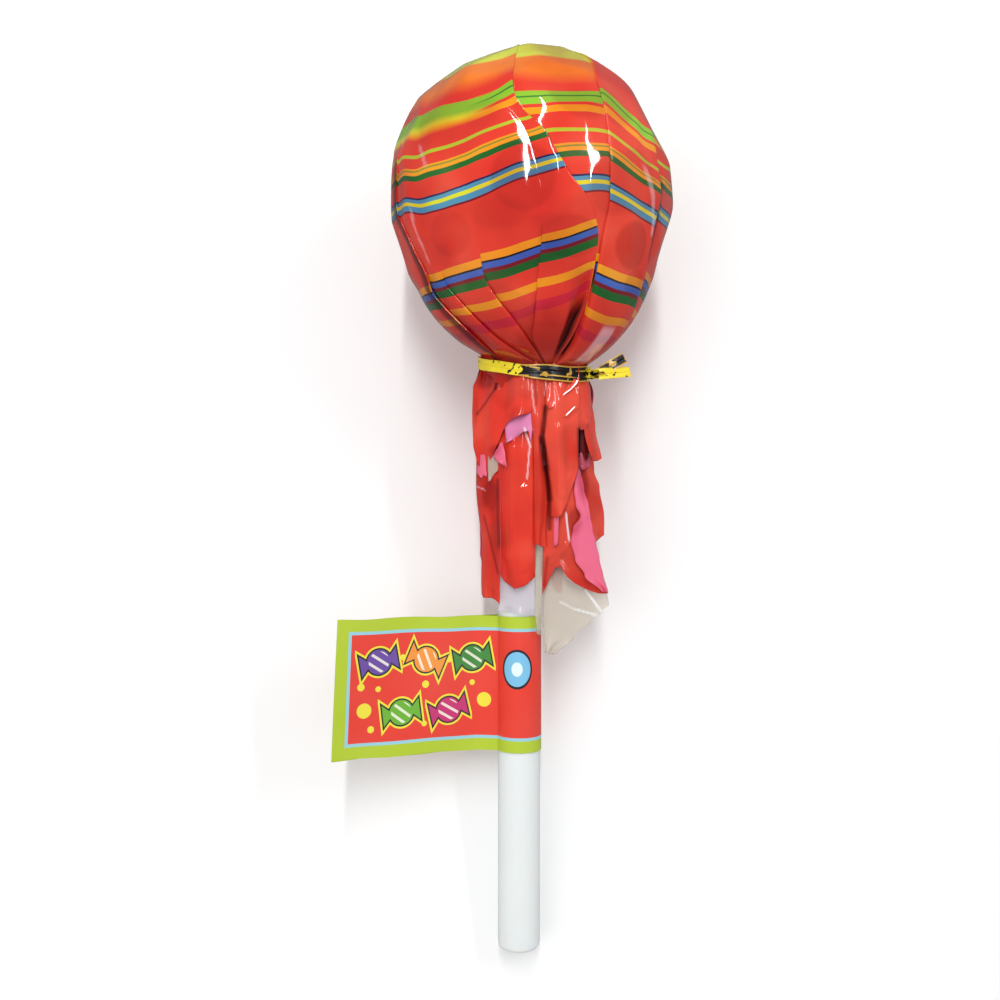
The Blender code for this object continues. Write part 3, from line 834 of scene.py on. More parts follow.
def facetDirections():
    draw = random.Random(facets["seed"])
    turn = math.pi * (3 - math.sqrt(5))
    found = []
    for index in range(facets["count"]):
        height = 1 - 2 * (index + 0.5) / facets["count"]
        out = math.sqrt(1 - height * height)
        spot = Vector((out * math.cos(turn * index), out * math.sin(turn * index), height))
        spot += Vector([draw.uniform(-1, 1) * facets["jitter"] for axis in range(3)])
        found.append(spot.normalized())
    chosen = [ballWay(azimuth, arc) for azimuth, arc in facets["set"]]
    nearest = math.cos(facets["clearOf"])
    return chosen + [spot for spot in found if all(spot.dot(way) < nearest for way in chosen)]


def facetLift(azimuth, arc, directions):  # how far the flat facets stand out of or into the ball
    way = ballWay(azimuth, arc)
    first = second = -1.0
    for direction in directions:
        near = way.dot(direction)
        if near > first:
            first, second = near, first
        elif near > second:
            second = near
    first += math.log(1 + math.exp(facets["crispness"] * (second - first))) / facets["crispness"]
    lift = facets["strength"] * pack["ballRadius"] * (math.cos(facets["halfAngle"]) / first - 1)
    return lift * smooth((facets["fadeTo"] - arc) / (facets["fadeTo"] - facets["fadeFrom"]))


def buildHead():
    directions = facetDirections()
    edges = allFolds()
    counts = []
    for index, (name, fold) in enumerate(edges):
        following = edges[(index + 1) % len(edges)][1]
        wrap = 360 if index == len(edges) - 1 else 0
        wide = max(
            curved(following["line"], arc) + wrap - curved(fold["line"], arc) for arc in (60, 85, 100, 115, 130)
        )
        counts.append(max(5, round(wide / headGrid["columnStep"])))
    points = []
    uvs = []
    values = {name: [] for name in filmAttributes}
    arc = headGrid["firstArc"]
    arcs = []
    while arc < waistArc:
        arcs.append(arc)
        arc += headGrid["rowStep"]
    arcs.append(waistArc)
    for arc in arcs:
        for azimuth, lift, printed, panel, share in headRow(arc, edges, counts):
            for centre, middle, across, along, height in headDents:
                far = math.hypot(turnBetween(azimuth, centre) / across, (arc - middle) / along)
                lift += height * smooth(1 - far)
            lift += facetLift(azimuth, arc, directions)
            lift *= smooth(arc / 12)
            points.append(headPoint(azimuth, arc, lift))
            uvs.append((azimuth / 360, printed / printSpan))
            for key, value in zip(values, headValues(azimuth, arc, panel, share)):
                values[key].append(value)
    columns = sum(counts) + 2 * len(edges)
    rows = len(arcs)
    closing = ((pack["waistRadius"], pack["waistMiddle"]), (12.0, -59.0), (pack["stickRadius"] + 0.1, -57.5))
    waistRow = headRow(waistArc, edges, counts)
    for radius, height in closing:  # the gathered film under the tie, in to the stick
        for azimuth, lift, printed, panel, share in waistRow:
            shareIn = (radius - pack["stickRadius"]) / (pack["waistRadius"] - pack["stickRadius"])
            centre = pack["stickOffset"] + (pack["waistOffset"] - pack["stickOffset"]) * shareIn
            reach = radius + lift * shareIn
            angle = math.radians(azimuth)
            points.append((
                centre + reach * math.sin(angle), -reach * math.cos(angle), height - waistDrop(azimuth, reach),
            ))
            uvs.append((azimuth / 360, printed / printSpan))
            # painted shade under the tie: full darkening and some gap shade
            for key, value in zip(values, (1.0, 0.0, 0.4, 0.0, 0.0, 0.0)):
                values[key].append(value)
        rows += 1
    faces = gridFaces(rows, columns, closed=True)
    points.append((0, 0, pack["ballRadius"]))
    uvs.append((0.5, 0.0))
    for key, value in zip(values, (0.0, 0.0, 0.0, 0.0, 0.0, 0.0)):
        values[key].append(value)
    pole = len(points) - 1
    for column in range(columns):
        faces.append((column, (column + 1) % columns, pole))
    return addMesh("headFilm", points, faces, [printedFilm], values, uvs)


headRelief = {"Wave Height": 0.5, "Wave Size": 24.0, "Crinkle Height": 0.14, "Crinkle Size": 8.0, "Seed": 3.0}
headFilm = buildHead()
settings = dict(headRelief)
settings["Finish"] = printedFilm
settings["Reverse Finish"] = reverseFilm
runTree(headFilm, filmRelief, settings)
dress(headFilm, "printed_film", "film_head")
print("wrapped ball made:", len(headFilm.data.polygons), "faces")


# Stick
stick = {"sides": 96, "endSteps": 8, "dimpleRadius": 3.2, "dimpleDepth": 0.5}


def makeStickPlastic():
    material, tree, shader = newMaterial("stickPlastic")
    place = addNode(tree, "ShaderNodeTexCoord").outputs["Object"]
    cloud = addNode(tree, "ShaderNodeTexNoise", Vector=place, Scale=28.0, Detail=3.0)
    colour = mixColours(tree, cloud.outputs["Fac"], colours["stickWhite"], screenColour(230, 236, 232))
    long = addNode(tree, "ShaderNodeMapping", Vector=place)
    long.inputs["Scale"].default_value = (900.0, 30.0, 900.0)
    drawn = addNode(tree, "ShaderNodeTexNoise", Vector=long.outputs[0], Scale=1.0, Detail=2.0)
    bump = addNode(tree, "ShaderNodeBump", Height=drawn.outputs["Fac"], Distance=0.00003, Strength=0.6)
    rough = math2(tree, "MULTIPLY_ADD", drawn.outputs["Fac"], 0.15)
    rough.node.inputs[2].default_value = 0.3
    tree.links.new(colour, shader.inputs["Base Color"])
    tree.links.new(rough, shader.inputs["Roughness"])
    tree.links.new(bump.outputs["Normal"], shader.inputs["Normal"])
    shader.inputs["Subsurface Weight"].default_value = 0.15
    shader.inputs["Subsurface Scale"].default_value = 0.004
    return material


def buildStick():
    radius = pack["stickRadius"]
    rounding = pack["stickRounding"]
    end = pack["stickEnd"]
    profilePoints = [(radius, pack["stickTop"])]
    for step in range(12):
        profilePoints.append((radius, -60 + (end + rounding + 60) * step / 12))
    for step in range(stick["endSteps"] + 1):
        angle = math.radians(90 * step / stick["endSteps"])
        profilePoints.append((radius - rounding * (1 - math.cos(angle)), end + rounding * (1 - math.sin(angle))))
    profilePoints.append((stick["dimpleRadius"] + 0.6, end))
    profilePoints.append((stick["dimpleRadius"], end + 0.15))
    profilePoints.append((stick["dimpleRadius"] - 0.6, end + stick["dimpleDepth"]))
    points = []
    for reach, height in profilePoints:
        for side in range(stick["sides"]):
            angle = math.tau * side / stick["sides"]
            points.append((pack["stickOffset"] + reach * math.sin(angle), -reach * math.cos(angle), height))
    faces = gridFaces(len(profilePoints), stick["sides"], closed=True)
    faces.append(tuple(range(stick["sides"])))
    last = (len(profilePoints) - 1) * stick["sides"]
    faces.append(tuple(last + side for side in reversed(range(stick["sides"]))))
    made = addMesh("stickTube", points, faces, [makeStickPlastic()])
    made.data.set_sharp_from_angle(angle=math.radians(50))
    return made


stickTube = buildStick()
dress(stickTube, "stick_plastic", "stick")
print("stick made")


# Flag label
label = {
    "top": -149.0, "height": 48.0, "wall": 0.22, "gap": 0.3,
    "flagLength": 56.0, "flagLift": 20.0, "flagCurl": 1.25, "flagLean": 2.2,
    "ringSteps": 64, "flagSteps": 60, "rows": 49,
    "ripple": 0.35,        # waviness of the paper's edges
    "border": 4.2, "line": 1.1,
    "sweetRows": (       # staggered rows of large wrapped sweets
        {"up": 33.0, "start": 15.4, "spacing": 17.4, "count": 3, "scale": 1.28, "seed": 0.05},
        {"up": 15.0, "start": 24.1, "spacing": 17.4, "count": 2, "scale": 1.28, "seed": 0.25},
    ),
    "dots": ((10.6, 16.4, 2.6), (54.6, 18.0, 2.6), (9.2, 24.6, 1.3), (15.4, 23.6, 1.0), (32.8, 24.4, 1.3),
             (50.2, 24.2, 1.0), (24.1, 34.2, 1.0), (41.5, 33.0, 1.3), (32.6, 10.6, 1.0), (13.2, 9.8, 1.2)),
}


def labelLine():  # the paper's outer line seen along the stick: out along the front, round the stick, back out
    radius = pack["stickRadius"] + label["gap"] + label["wall"]
    centre = Vector((pack["stickOffset"], 0.0))
    root = pack["stickOffset"] - pack["stickRadius"] - 0.4

    def middle(share):
        return Vector((root - label["flagLength"] * share, -label["flagLift"] * share ** label["flagCurl"]))

    front = []
    back = []
    for step in range(label["flagSteps"] + 1):
        share = step / label["flagSteps"]
        spot = middle(share)
        ahead = (middle(share + 0.01) - middle(max(0.0, share - 0.01))).normalized()
        side = Vector((-ahead.y, ahead.x))
        if side.y > 0:
            side = -side
        spread = label["wall"] + 0.03 + 2.4 * (1 - smooth(share / 0.16))
        front.append(spot + side * spread)
        back.append(spot - side * spread)
    ring = []
    for step in range(label["ringSteps"] + 1):
        angle = math.radians(-68 + (360 - 44) * step / label["ringSteps"])
        ring.append(centre + Vector((radius * math.sin(angle), -radius * math.cos(angle))))
    cut = 5
    return front[:cut - 1:-1] + ring + back[cut:]


def makeLabelPaper():
    material, tree, shader = newMaterial("labelPaper")
    uv = addNode(tree, "ShaderNodeUVMap", {"uv_map": "film"})
    split = addNode(tree, "ShaderNodeSeparateXYZ", Vector=uv.outputs[0])
    along = math2(tree, "MULTIPLY", split.outputs["X"], 100.0)
    up = math2(tree, "MULTIPLY", split.outputs["Y"], 100.0)
    down = math2(tree, "SUBTRACT", label["height"], up)
    edge = math2(tree, "MINIMUM", along, math2(tree, "MINIMUM", up, down))
    colour = mixColours(tree, math2(tree, "GREATER_THAN", edge, label["border"]), colours["labelLime"], colours["labelBlue"])
    inside = math2(tree, "GREATER_THAN", edge, label["border"] + label["line"])
    colour = mixColours(tree, inside, colour, colours["labelRed"])
    sweets = buildSweetRow()
    flat = addNode(tree, "ShaderNodeCombineXYZ", X=along, Y=up)
    for acrossAt, upAt, size in label["dots"]:
        dot = addNode(tree, "ShaderNodeVectorMath", {"operation": "DISTANCE"})
        tree.links.new(flat.outputs[0], dot.inputs[0])
        dot.inputs[1].default_value = (acrossAt, upAt, 0.0)
        colour = mixColours(tree, math2(tree, "LESS_THAN", dot.outputs["Value"], size), colour, colours["dotYellow"])
    for row in label["sweetRows"]:
        made = placeGroup(
            tree, sweets, Along=math2(tree, "SUBTRACT", along, row["start"]),
            Up=math2(tree, "SUBTRACT", up, row["up"]), Spacing=row["spacing"], Scale=row["scale"], Seed=row["seed"],
        )
        first = math2(tree, "GREATER_THAN", along, row["start"] - row["spacing"] / 2)
        last = math2(tree, "LESS_THAN", along, row["start"] + row["spacing"] * (row["count"] - 0.5))
        shown = math2(tree, "MULTIPLY", made["Mask"], math2(tree, "MULTIPLY", first, last))
        colour = mixColours(tree, shown, colour, made["Colour"])
    disc = addNode(tree, "ShaderNodeVectorMath", {"operation": "DISTANCE"})
    place = addNode(tree, "ShaderNodeCombineXYZ", X=along, Y=math2(tree, "MULTIPLY", up, 0.8))
    tree.links.new(place.outputs[0], disc.inputs[0])
    disc.inputs[1].default_value = (68.5, 23.6, 0.0)
    far = disc.outputs["Value"]
    colour = mixColours(tree, math2(tree, "LESS_THAN", far, 5.6), colour, colours["black"])
    colour = mixColours(tree, math2(tree, "LESS_THAN", far, 4.9), colour, screenColour(120, 190, 228))
    colour = mixColours(tree, math2(tree, "LESS_THAN", far, 2.0), colour, screenColour(225, 244, 250))
    place = addNode(tree, "ShaderNodeTexCoord").outputs["Object"]
    fibre = addNode(tree, "ShaderNodeTexNoise", Vector=place, Scale=900.0, Detail=3.0)
    worn = addNode(tree, "ShaderNodeTexNoise", Vector=place, Scale=50.0, Detail=2.0)
    paler = math2(tree, "MULTIPLY", worn.outputs["Fac"], 0.04)
    colour = mixColours(tree, paler, colour, (1.0, 0.95, 0.9))
    bump = addNode(tree, "ShaderNodeBump", Height=fibre.outputs["Fac"], Distance=0.00003, Strength=0.4)
    tree.links.new(colour, shader.inputs["Base Color"])
    tree.links.new(bump.outputs["Normal"], shader.inputs["Normal"])
    shader.inputs["Roughness"].default_value = 0.42
    return material


# A row of wrapped sweets in several colours: a round body and two fans, with an outline and a glow.
def buildSweetRow():
    group, given, out = newGroup(
        "sweetRow",
        "ShaderNodeTree",
        (
            ("Along", "NodeSocketFloat", 0.0),
            ("Up", "NodeSocketFloat", 0.0),
            ("Spacing", "NodeSocketFloat", 10.0),
            ("Scale", "NodeSocketFloat", 1.0),
            ("Seed", "NodeSocketFloat", 1.0),
        ),
        (("Colour", "NodeSocketColor"), ("Mask", "NodeSocketFloat")),
    )
    cell = math2(group, "ROUND", math2(group, "DIVIDE", given["Along"], given["Spacing"]))
    x = math2(group, "SUBTRACT", given["Along"], math2(group, "MULTIPLY", cell, given["Spacing"]))
    x = math2(group, "DIVIDE", x, given["Scale"])
    y = math2(group, "DIVIDE", given["Up"], given["Scale"])
    pick = math2(group, "ADD", math2(group, "MULTIPLY", cell, 0.381), given["Seed"])
    tilt = math2(group, "MULTIPLY", math2(group, "SINE", math2(group, "MULTIPLY", pick, 11.0)), 0.4)
    cosine = math2(group, "COSINE", tilt)
    sine = math2(group, "SINE", tilt)
    turnedX = math2(
        group, "ADD", math2(group, "MULTIPLY", x, cosine), math2(group, "MULTIPLY", y, sine)
    )
    turnedY = math2(
        group, "SUBTRACT", math2(group, "MULTIPLY", y, cosine), math2(group, "MULTIPLY", x, sine)
    )
    body = addNode(group, "ShaderNodeVectorMath", {"operation": "LENGTH"})
    spot = addNode(group, "ShaderNodeCombineXYZ", X=turnedX, Y=turnedY)
    group.links.new(spot.outputs[0], body.inputs[0])
    body = math2(group, "SUBTRACT", body.outputs["Value"], 3.4)
    far = math2(group, "ABSOLUTE", turnedX)
    high = math2(group, "ABSOLUTE", turnedY)
    slope = math2(group, "SUBTRACT", high, math2(group, "MULTIPLY", math2(group, "SUBTRACT", far, 2.2), 0.95))
    fan = math2(group, "MAXIMUM", math2(group, "MULTIPLY", slope, 0.72), math2(group, "SUBTRACT", far, 5.3))
    shape = math2(group, "MINIMUM", body, fan)
    turns = math2(group, "FRACT", pick)
    sweetColours = (
        (0.0, screenColour(104, 70, 160)), (0.2, screenColour(104, 176, 40)), (0.42, screenColour(240, 146, 44)),
        (0.62, screenColour(196, 30, 110)), (0.8, screenColour(56, 136, 50)),
    )
    fill = ramp(group, turns, sweetColours, constant=True)
    swirl = math2(group, "SINE", math2(group, "MULTIPLY", math2(group, "ADD", turnedX, turnedY), 1.9))
    light = math2(group, "MULTIPLY", math2(group, "GREATER_THAN", swirl, 0.55), math2(group, "LESS_THAN", body, -0.5))
    fill = mixColours(group, math2(group, "MULTIPLY", light, 0.75), fill, (0.95, 0.93, 0.8))
    colour = mixColours(group, math2(group, "LESS_THAN", shape, 0.0), colours["black"], fill)
    glow = math2(group, "GREATER_THAN", shape, 0.42)
    colour = mixColours(group, glow, colour, colours["dotYellow"])
    group.links.new(colour, out["Colour"])
    group.links.new(math2(group, "LESS_THAN", shape, 0.95), out["Mask"])
    return group


def buildLabel():
    line = labelLine()
    lengths = [0.0]
    for before, after in zip(line, line[1:]):
        lengths.append(lengths[-1] + (after - before).length)
    total = lengths[-1]
    normals = []
    for index in range(len(line)):
        ahead = (line[min(index + 1, len(line) - 1)] - line[max(index - 1, 0)]).normalized()
        normals.append(Vector((ahead.y, -ahead.x)))
    points = []
    uvs = []
    rows = label["rows"]
    for layer in range(2):  # outer face, then inner face
        for row in range(rows):
            up = 1 - row / (rows - 1)
            for spot, normal, length in zip(line, normals, lengths):
                place = spot - normal * label["wall"] * layer
                out = max(0.0, pack["stickOffset"] - pack["stickRadius"] - place.x)
                share = out / label["flagLength"]
                x = place.x + label["flagLean"] * share * up
                edge = abs(2 * up - 1) ** 3
                wave = label["ripple"] * math.sin(length * 0.22 + 2.0 * up) * smooth(share * 3)
                y = place.y + 1.2 * label["ripple"] * math.sin(out * 0.16 + 3.0 * up) * smooth(share * 3)
                height = label["top"] - label["height"] * (1 - up) + wave * 0.6 * edge
                points.append((x, y, height))
                uvs.append((min(length, total - length) / 100, up * label["height"] / 100))
    columns = len(line)
    half = rows * columns
    faces = gridFaces(rows, columns)
    faces += [tuple(half + corner for corner in reversed(face)) for face in gridFaces(rows, columns)]
    rim = [column for column in range(columns)]
    rim += [row * columns + columns - 1 for row in range(1, rows)]
    rim += [(rows - 1) * columns + column for column in range(columns - 2, -1, -1)]
    rim += [row * columns for row in range(rows - 2, 0, -1)]
    for a, b in zip(rim, rim[1:] + rim[:1]):
        faces.append((a, b, half + b, half + a))
    made = addMesh("flagLabel", points, faces, [makeLabelPaper()], None, uvs)
    made.data.set_sharp_from_angle(angle=math.radians(50))
    return made


flagLabel = buildLabel()
dress(flagLabel, "label_paper", "flag_label")
print("flag label made")


# Twist tie
tie = {
    "stripWidth": 3.9, "stripThickness": 0.22, "wireDiameter": 0.62,
    "underRadius": 19.75, "overRadius": 20.1,
    "spread": 0.75,         # how far the two turns stand apart in front
    "frontWidth": 0.38,     # how much of its width the strip keeps where it is drawn tight in front
    "goldEdge": 1.5,
    "knotLength": 3.2, "knotRadius": 0.5, "knotTurns": 1.5, "knotSize": 0.34,
    "knotAzimuth": 64.0,
    "tails": ((10.2, 0.0, 5.8), (12.3, 1.5, 1.1)),
    "tailSizes": (0.96, 0.62), "tailSpin": (6.0, -20.0), "tailDark": (0.95, 0.15),
}


def buildTwistStrip():  # a flat strip with a wire in it, swept along a path with its own turn and width
    group, given, out = newGroup(
        "twistStrip",
        "GeometryNodeTree",
        (
            ("Path", "NodeSocketGeometry"),
            ("Strip Width", "NodeSocketFloat", 4.0),
            ("Strip Thickness", "NodeSocketFloat", 0.2),
            ("Wire Diameter", "NodeSocketFloat", 0.6),
            ("Finish", "NodeSocketMaterial"),
        ),
        (("Strip", "NodeSocketGeometry"),),
    )

    def named(label):
        node = addNode(group, "GeometryNodeInputNamedAttribute", {"data_type": "FLOAT"})
        node.inputs["Name"].default_value = label
        return node.outputs[0]

    curve = addNode(group, "GeometryNodeMeshToCurve", Mesh=given["Path"])
    level = addNode(group, "GeometryNodeSetCurveNormal", {"mode": "Z_UP"}, Curve=curve.outputs[0])
    turned = addNode(group, "GeometryNodeSetCurveTilt", Curve=level.outputs[0], Tilt=named("turn"))
    sized = addNode(group, "GeometryNodeSetCurveRadius", Curve=turned.outputs[0], Radius=named("size"))
    flat = addNode(
        group, "GeometryNodeCurvePrimitiveQuadrilateral", Width=given["Strip Thickness"], Height=given["Strip Width"],
    )
    place = addNode(group, "GeometryNodeInputPosition").outputs[0]
    side = addNode(group, "ShaderNodeSeparateXYZ", Vector=place)
    stored = addNode(
        group, "GeometryNodeStoreNamedAttribute", {"data_type": "FLOAT", "domain": "POINT"},
        Geometry=flat.outputs[0], Value=side.outputs["Y"],
    )
    stored.inputs["Name"].default_value = "across"
    wire = addNode(
        group, "GeometryNodeCurvePrimitiveCircle", Resolution=8,
        Radius=math2(group, "MULTIPLY", given["Wire Diameter"], 0.5),
    )
    strip = addNode(group, "GeometryNodeCurveToMesh")
    core = addNode(group, "GeometryNodeCurveToMesh")
    for node, section in ((strip, stored.outputs[0]), (core, wire.outputs[0])):
        group.links.new(sized.outputs[0], node.inputs["Curve"])
        group.links.new(section, node.inputs["Profile Curve"])
        node.inputs["Fill Caps"].default_value = True
    joined = addNode(group, "GeometryNodeJoinGeometry")
    group.links.new(strip.outputs[0], joined.inputs[0])
    group.links.new(core.outputs[0], joined.inputs[0])
    plain = addNode(group, "GeometryNodeRealizeInstances", Geometry=joined.outputs[0])
    done = addNode(group, "GeometryNodeSetMaterial", Geometry=plain.outputs[0], Material=given["Finish"])
    group.links.new(done.outputs[0], out["Strip"])
    return group


def makeTieFoil():
    material, tree, shader = newMaterial("tieFoil")
    place = addNode(tree, "ShaderNodeTexCoord").outputs["Object"]
    fleck = addNode(tree, "ShaderNodeTexNoise", Vector=place, Scale=520.0, Detail=2.0)
    dark = attribute(tree, "dark")
    level = math2(tree, "SUBTRACT", 0.70, math2(tree, "MULTIPLY", dark, 0.26))
    inked = math2(tree, "GREATER_THAN", fleck.outputs["Fac"], level)
    cloud = addNode(tree, "ShaderNodeTexNoise", Vector=place, Scale=260.0, Detail=2.0)
    foil = mixColours(tree, cloud.outputs["Fac"], colours["tieYellow"], screenColour(228, 200, 36))
    colour = mixColours(tree, inked, foil, colours["black"])
    rim = math2(tree, "GREATER_THAN", math2(tree, "ABSOLUTE", attribute(tree, "across")), tie["goldEdge"])
    gold = math2(tree, "MAXIMUM", rim, math2(tree, "GREATER_THAN", cloud.outputs["Fac"], 0.62))
    strand = mixColours(tree, gold, screenColour(14, 12, 18), screenColour(206, 160, 62))
    uneven = math2(tree, "MULTIPLY_ADD", cloud.outputs["Fac"], 0.6)
    tree.links.new(dark, uneven.node.inputs[2])
    colour = mixColours(tree, math2(tree, "GREATER_THAN", uneven, 0.86), colour, strand)
    waves = placeGroup(tree, filmWaves, Wave_Size=2.5, Wave_Depth=0.12, Crease_Size=2.0, Crease_Depth=0.05)
    tree.links.new(colour, shader.inputs["Base Color"])
    tree.links.new(waves["Normal"], shader.inputs["Normal"])
    shader.inputs["Metallic"].default_value = 0.1
    shader.inputs["Roughness"].default_value = 0.28
    return material


def tiePath():  # (place, turn in degrees, size, dark) from one free end, twice round the neck, to the other
    made = []
    turned = math.radians(tie["knotAzimuth"])
    reach = tie["overRadius"]
    knot = Vector((pack["waistOffset"] + reach * math.sin(turned), -reach * math.cos(turned), pack["waistMiddle"]))
    knot.z -= waistDrop(tie["knotAzimuth"], reach)

    def tail(index):
        start = knot + Vector((tie["knotLength"], 0, 0))
        thin = tie["knotSize"]
        spots = []
        for step in range(15):
            share = step / 14
            bend = Vector((0, -0.5 if index else 0.6, 0)) * math.sin(math.pi * share)
            size = thin + (tie["tailSizes"][index] - thin) * smooth(share * 3)
            spin = tie["tailSpin"][index] * share + (90 if index == 0 else 0) * (1 - smooth(share * 2.5))
            spots.append((start + Vector(tie["tails"][index]) * share + bend, spin, size, tie["tailDark"][index]))
        return spots

    def twist(phase):
        spots = []
        steps = 18
        for step in range(1, steps):
            share = step / steps
            angle = math.tau * tie["knotTurns"] * share + phase
            off = Vector((0, math.cos(angle), math.sin(angle))) * tie["knotRadius"]
            spot = knot + Vector((tie["knotLength"] * share, 0, 0)) + off
            spots.append((spot, math.degrees(angle), tie["knotSize"], 0.5))
        return spots

    made += tail(0)[::-1]
    made += twist(0.0)[::-1]
    azimuth = tie["knotAzimuth"]
    while azimuth > tie["knotAzimuth"] - 719:
        turn = 0 if azimuth > tie["knotAzimuth"] - 360 else 1
        here = azimuth + 360 * turn  # 64 down to -296
        tight = smooth((here + 20) / 34) + smooth((-262 - here) / 30)
        radius = tie["overRadius"] if turn == 0 else tie["underRadius"]
        radius += (19.9 - radius) * tight
        shift = (1, -1)[turn] * tie["spread"] * tight
        wobble = 0.12 * math.sin(math.radians(here * 7))
        reach = radius + 0.15 * math.sin(math.radians(here * 5 + turn * 90))
        angle = math.radians(here)
        height = pack["waistMiddle"] - waistDrop(here, reach) + shift + wobble
        spot = Vector((pack["waistOffset"] + reach * math.sin(angle), -reach * math.cos(angle), height))
        dark = 0.12 + 0.88 * smooth((here + 42) / 54) if here > -60 else 0.1
        made.append((spot, 4 * math.sin(math.radians(here * 4)), 1 - (1 - tie["frontWidth"]) * tight, dark))
        azimuth -= 3
    made += twist(math.pi)
    made += tail(1)
    return made


def buildTie():
    path = tiePath()
    mesh = bpy.data.meshes.new("twistTie")
    mesh.from_pydata([spot for spot, *rest in path], [(i, i + 1) for i in range(len(path) - 1)], [])
    for column, label in ((1, "turn"), (2, "size"), (3, "dark")):
        numbers = [entry[column] * (math.pi / 180 if label == "turn" else 1) for entry in path]
        mesh.attributes.new(label, "FLOAT", "POINT").data.foreach_set("value", numbers)
    made = bpy.data.objects.new("twistTie", mesh)
    bpy.context.scene.collection.objects.link(made)
    foil = makeTieFoil()
    mesh.materials.append(foil)
    runTree(made, buildTwistStrip(), {
        "Strip Width": tie["stripWidth"], "Strip Thickness": tie["stripThickness"],
        "Wire Diameter": tie["wireDiameter"], "Finish": foil,
    })
    made.data.transform(laid)
    made.data.shade_smooth()
    made.data.set_sharp_from_angle(angle=math.radians(40))
    return made


twistTie = buildTie()
dress(twistTie, "tie_foil", "twist_tie")
print("twist tie made")


# Hanging film
skirt = {"wall": 0.12, "rowStep": 0.6, "columnStep": 0.42, "clearStep": 0.5, "crease": 0.3, "ridge": 0.75}
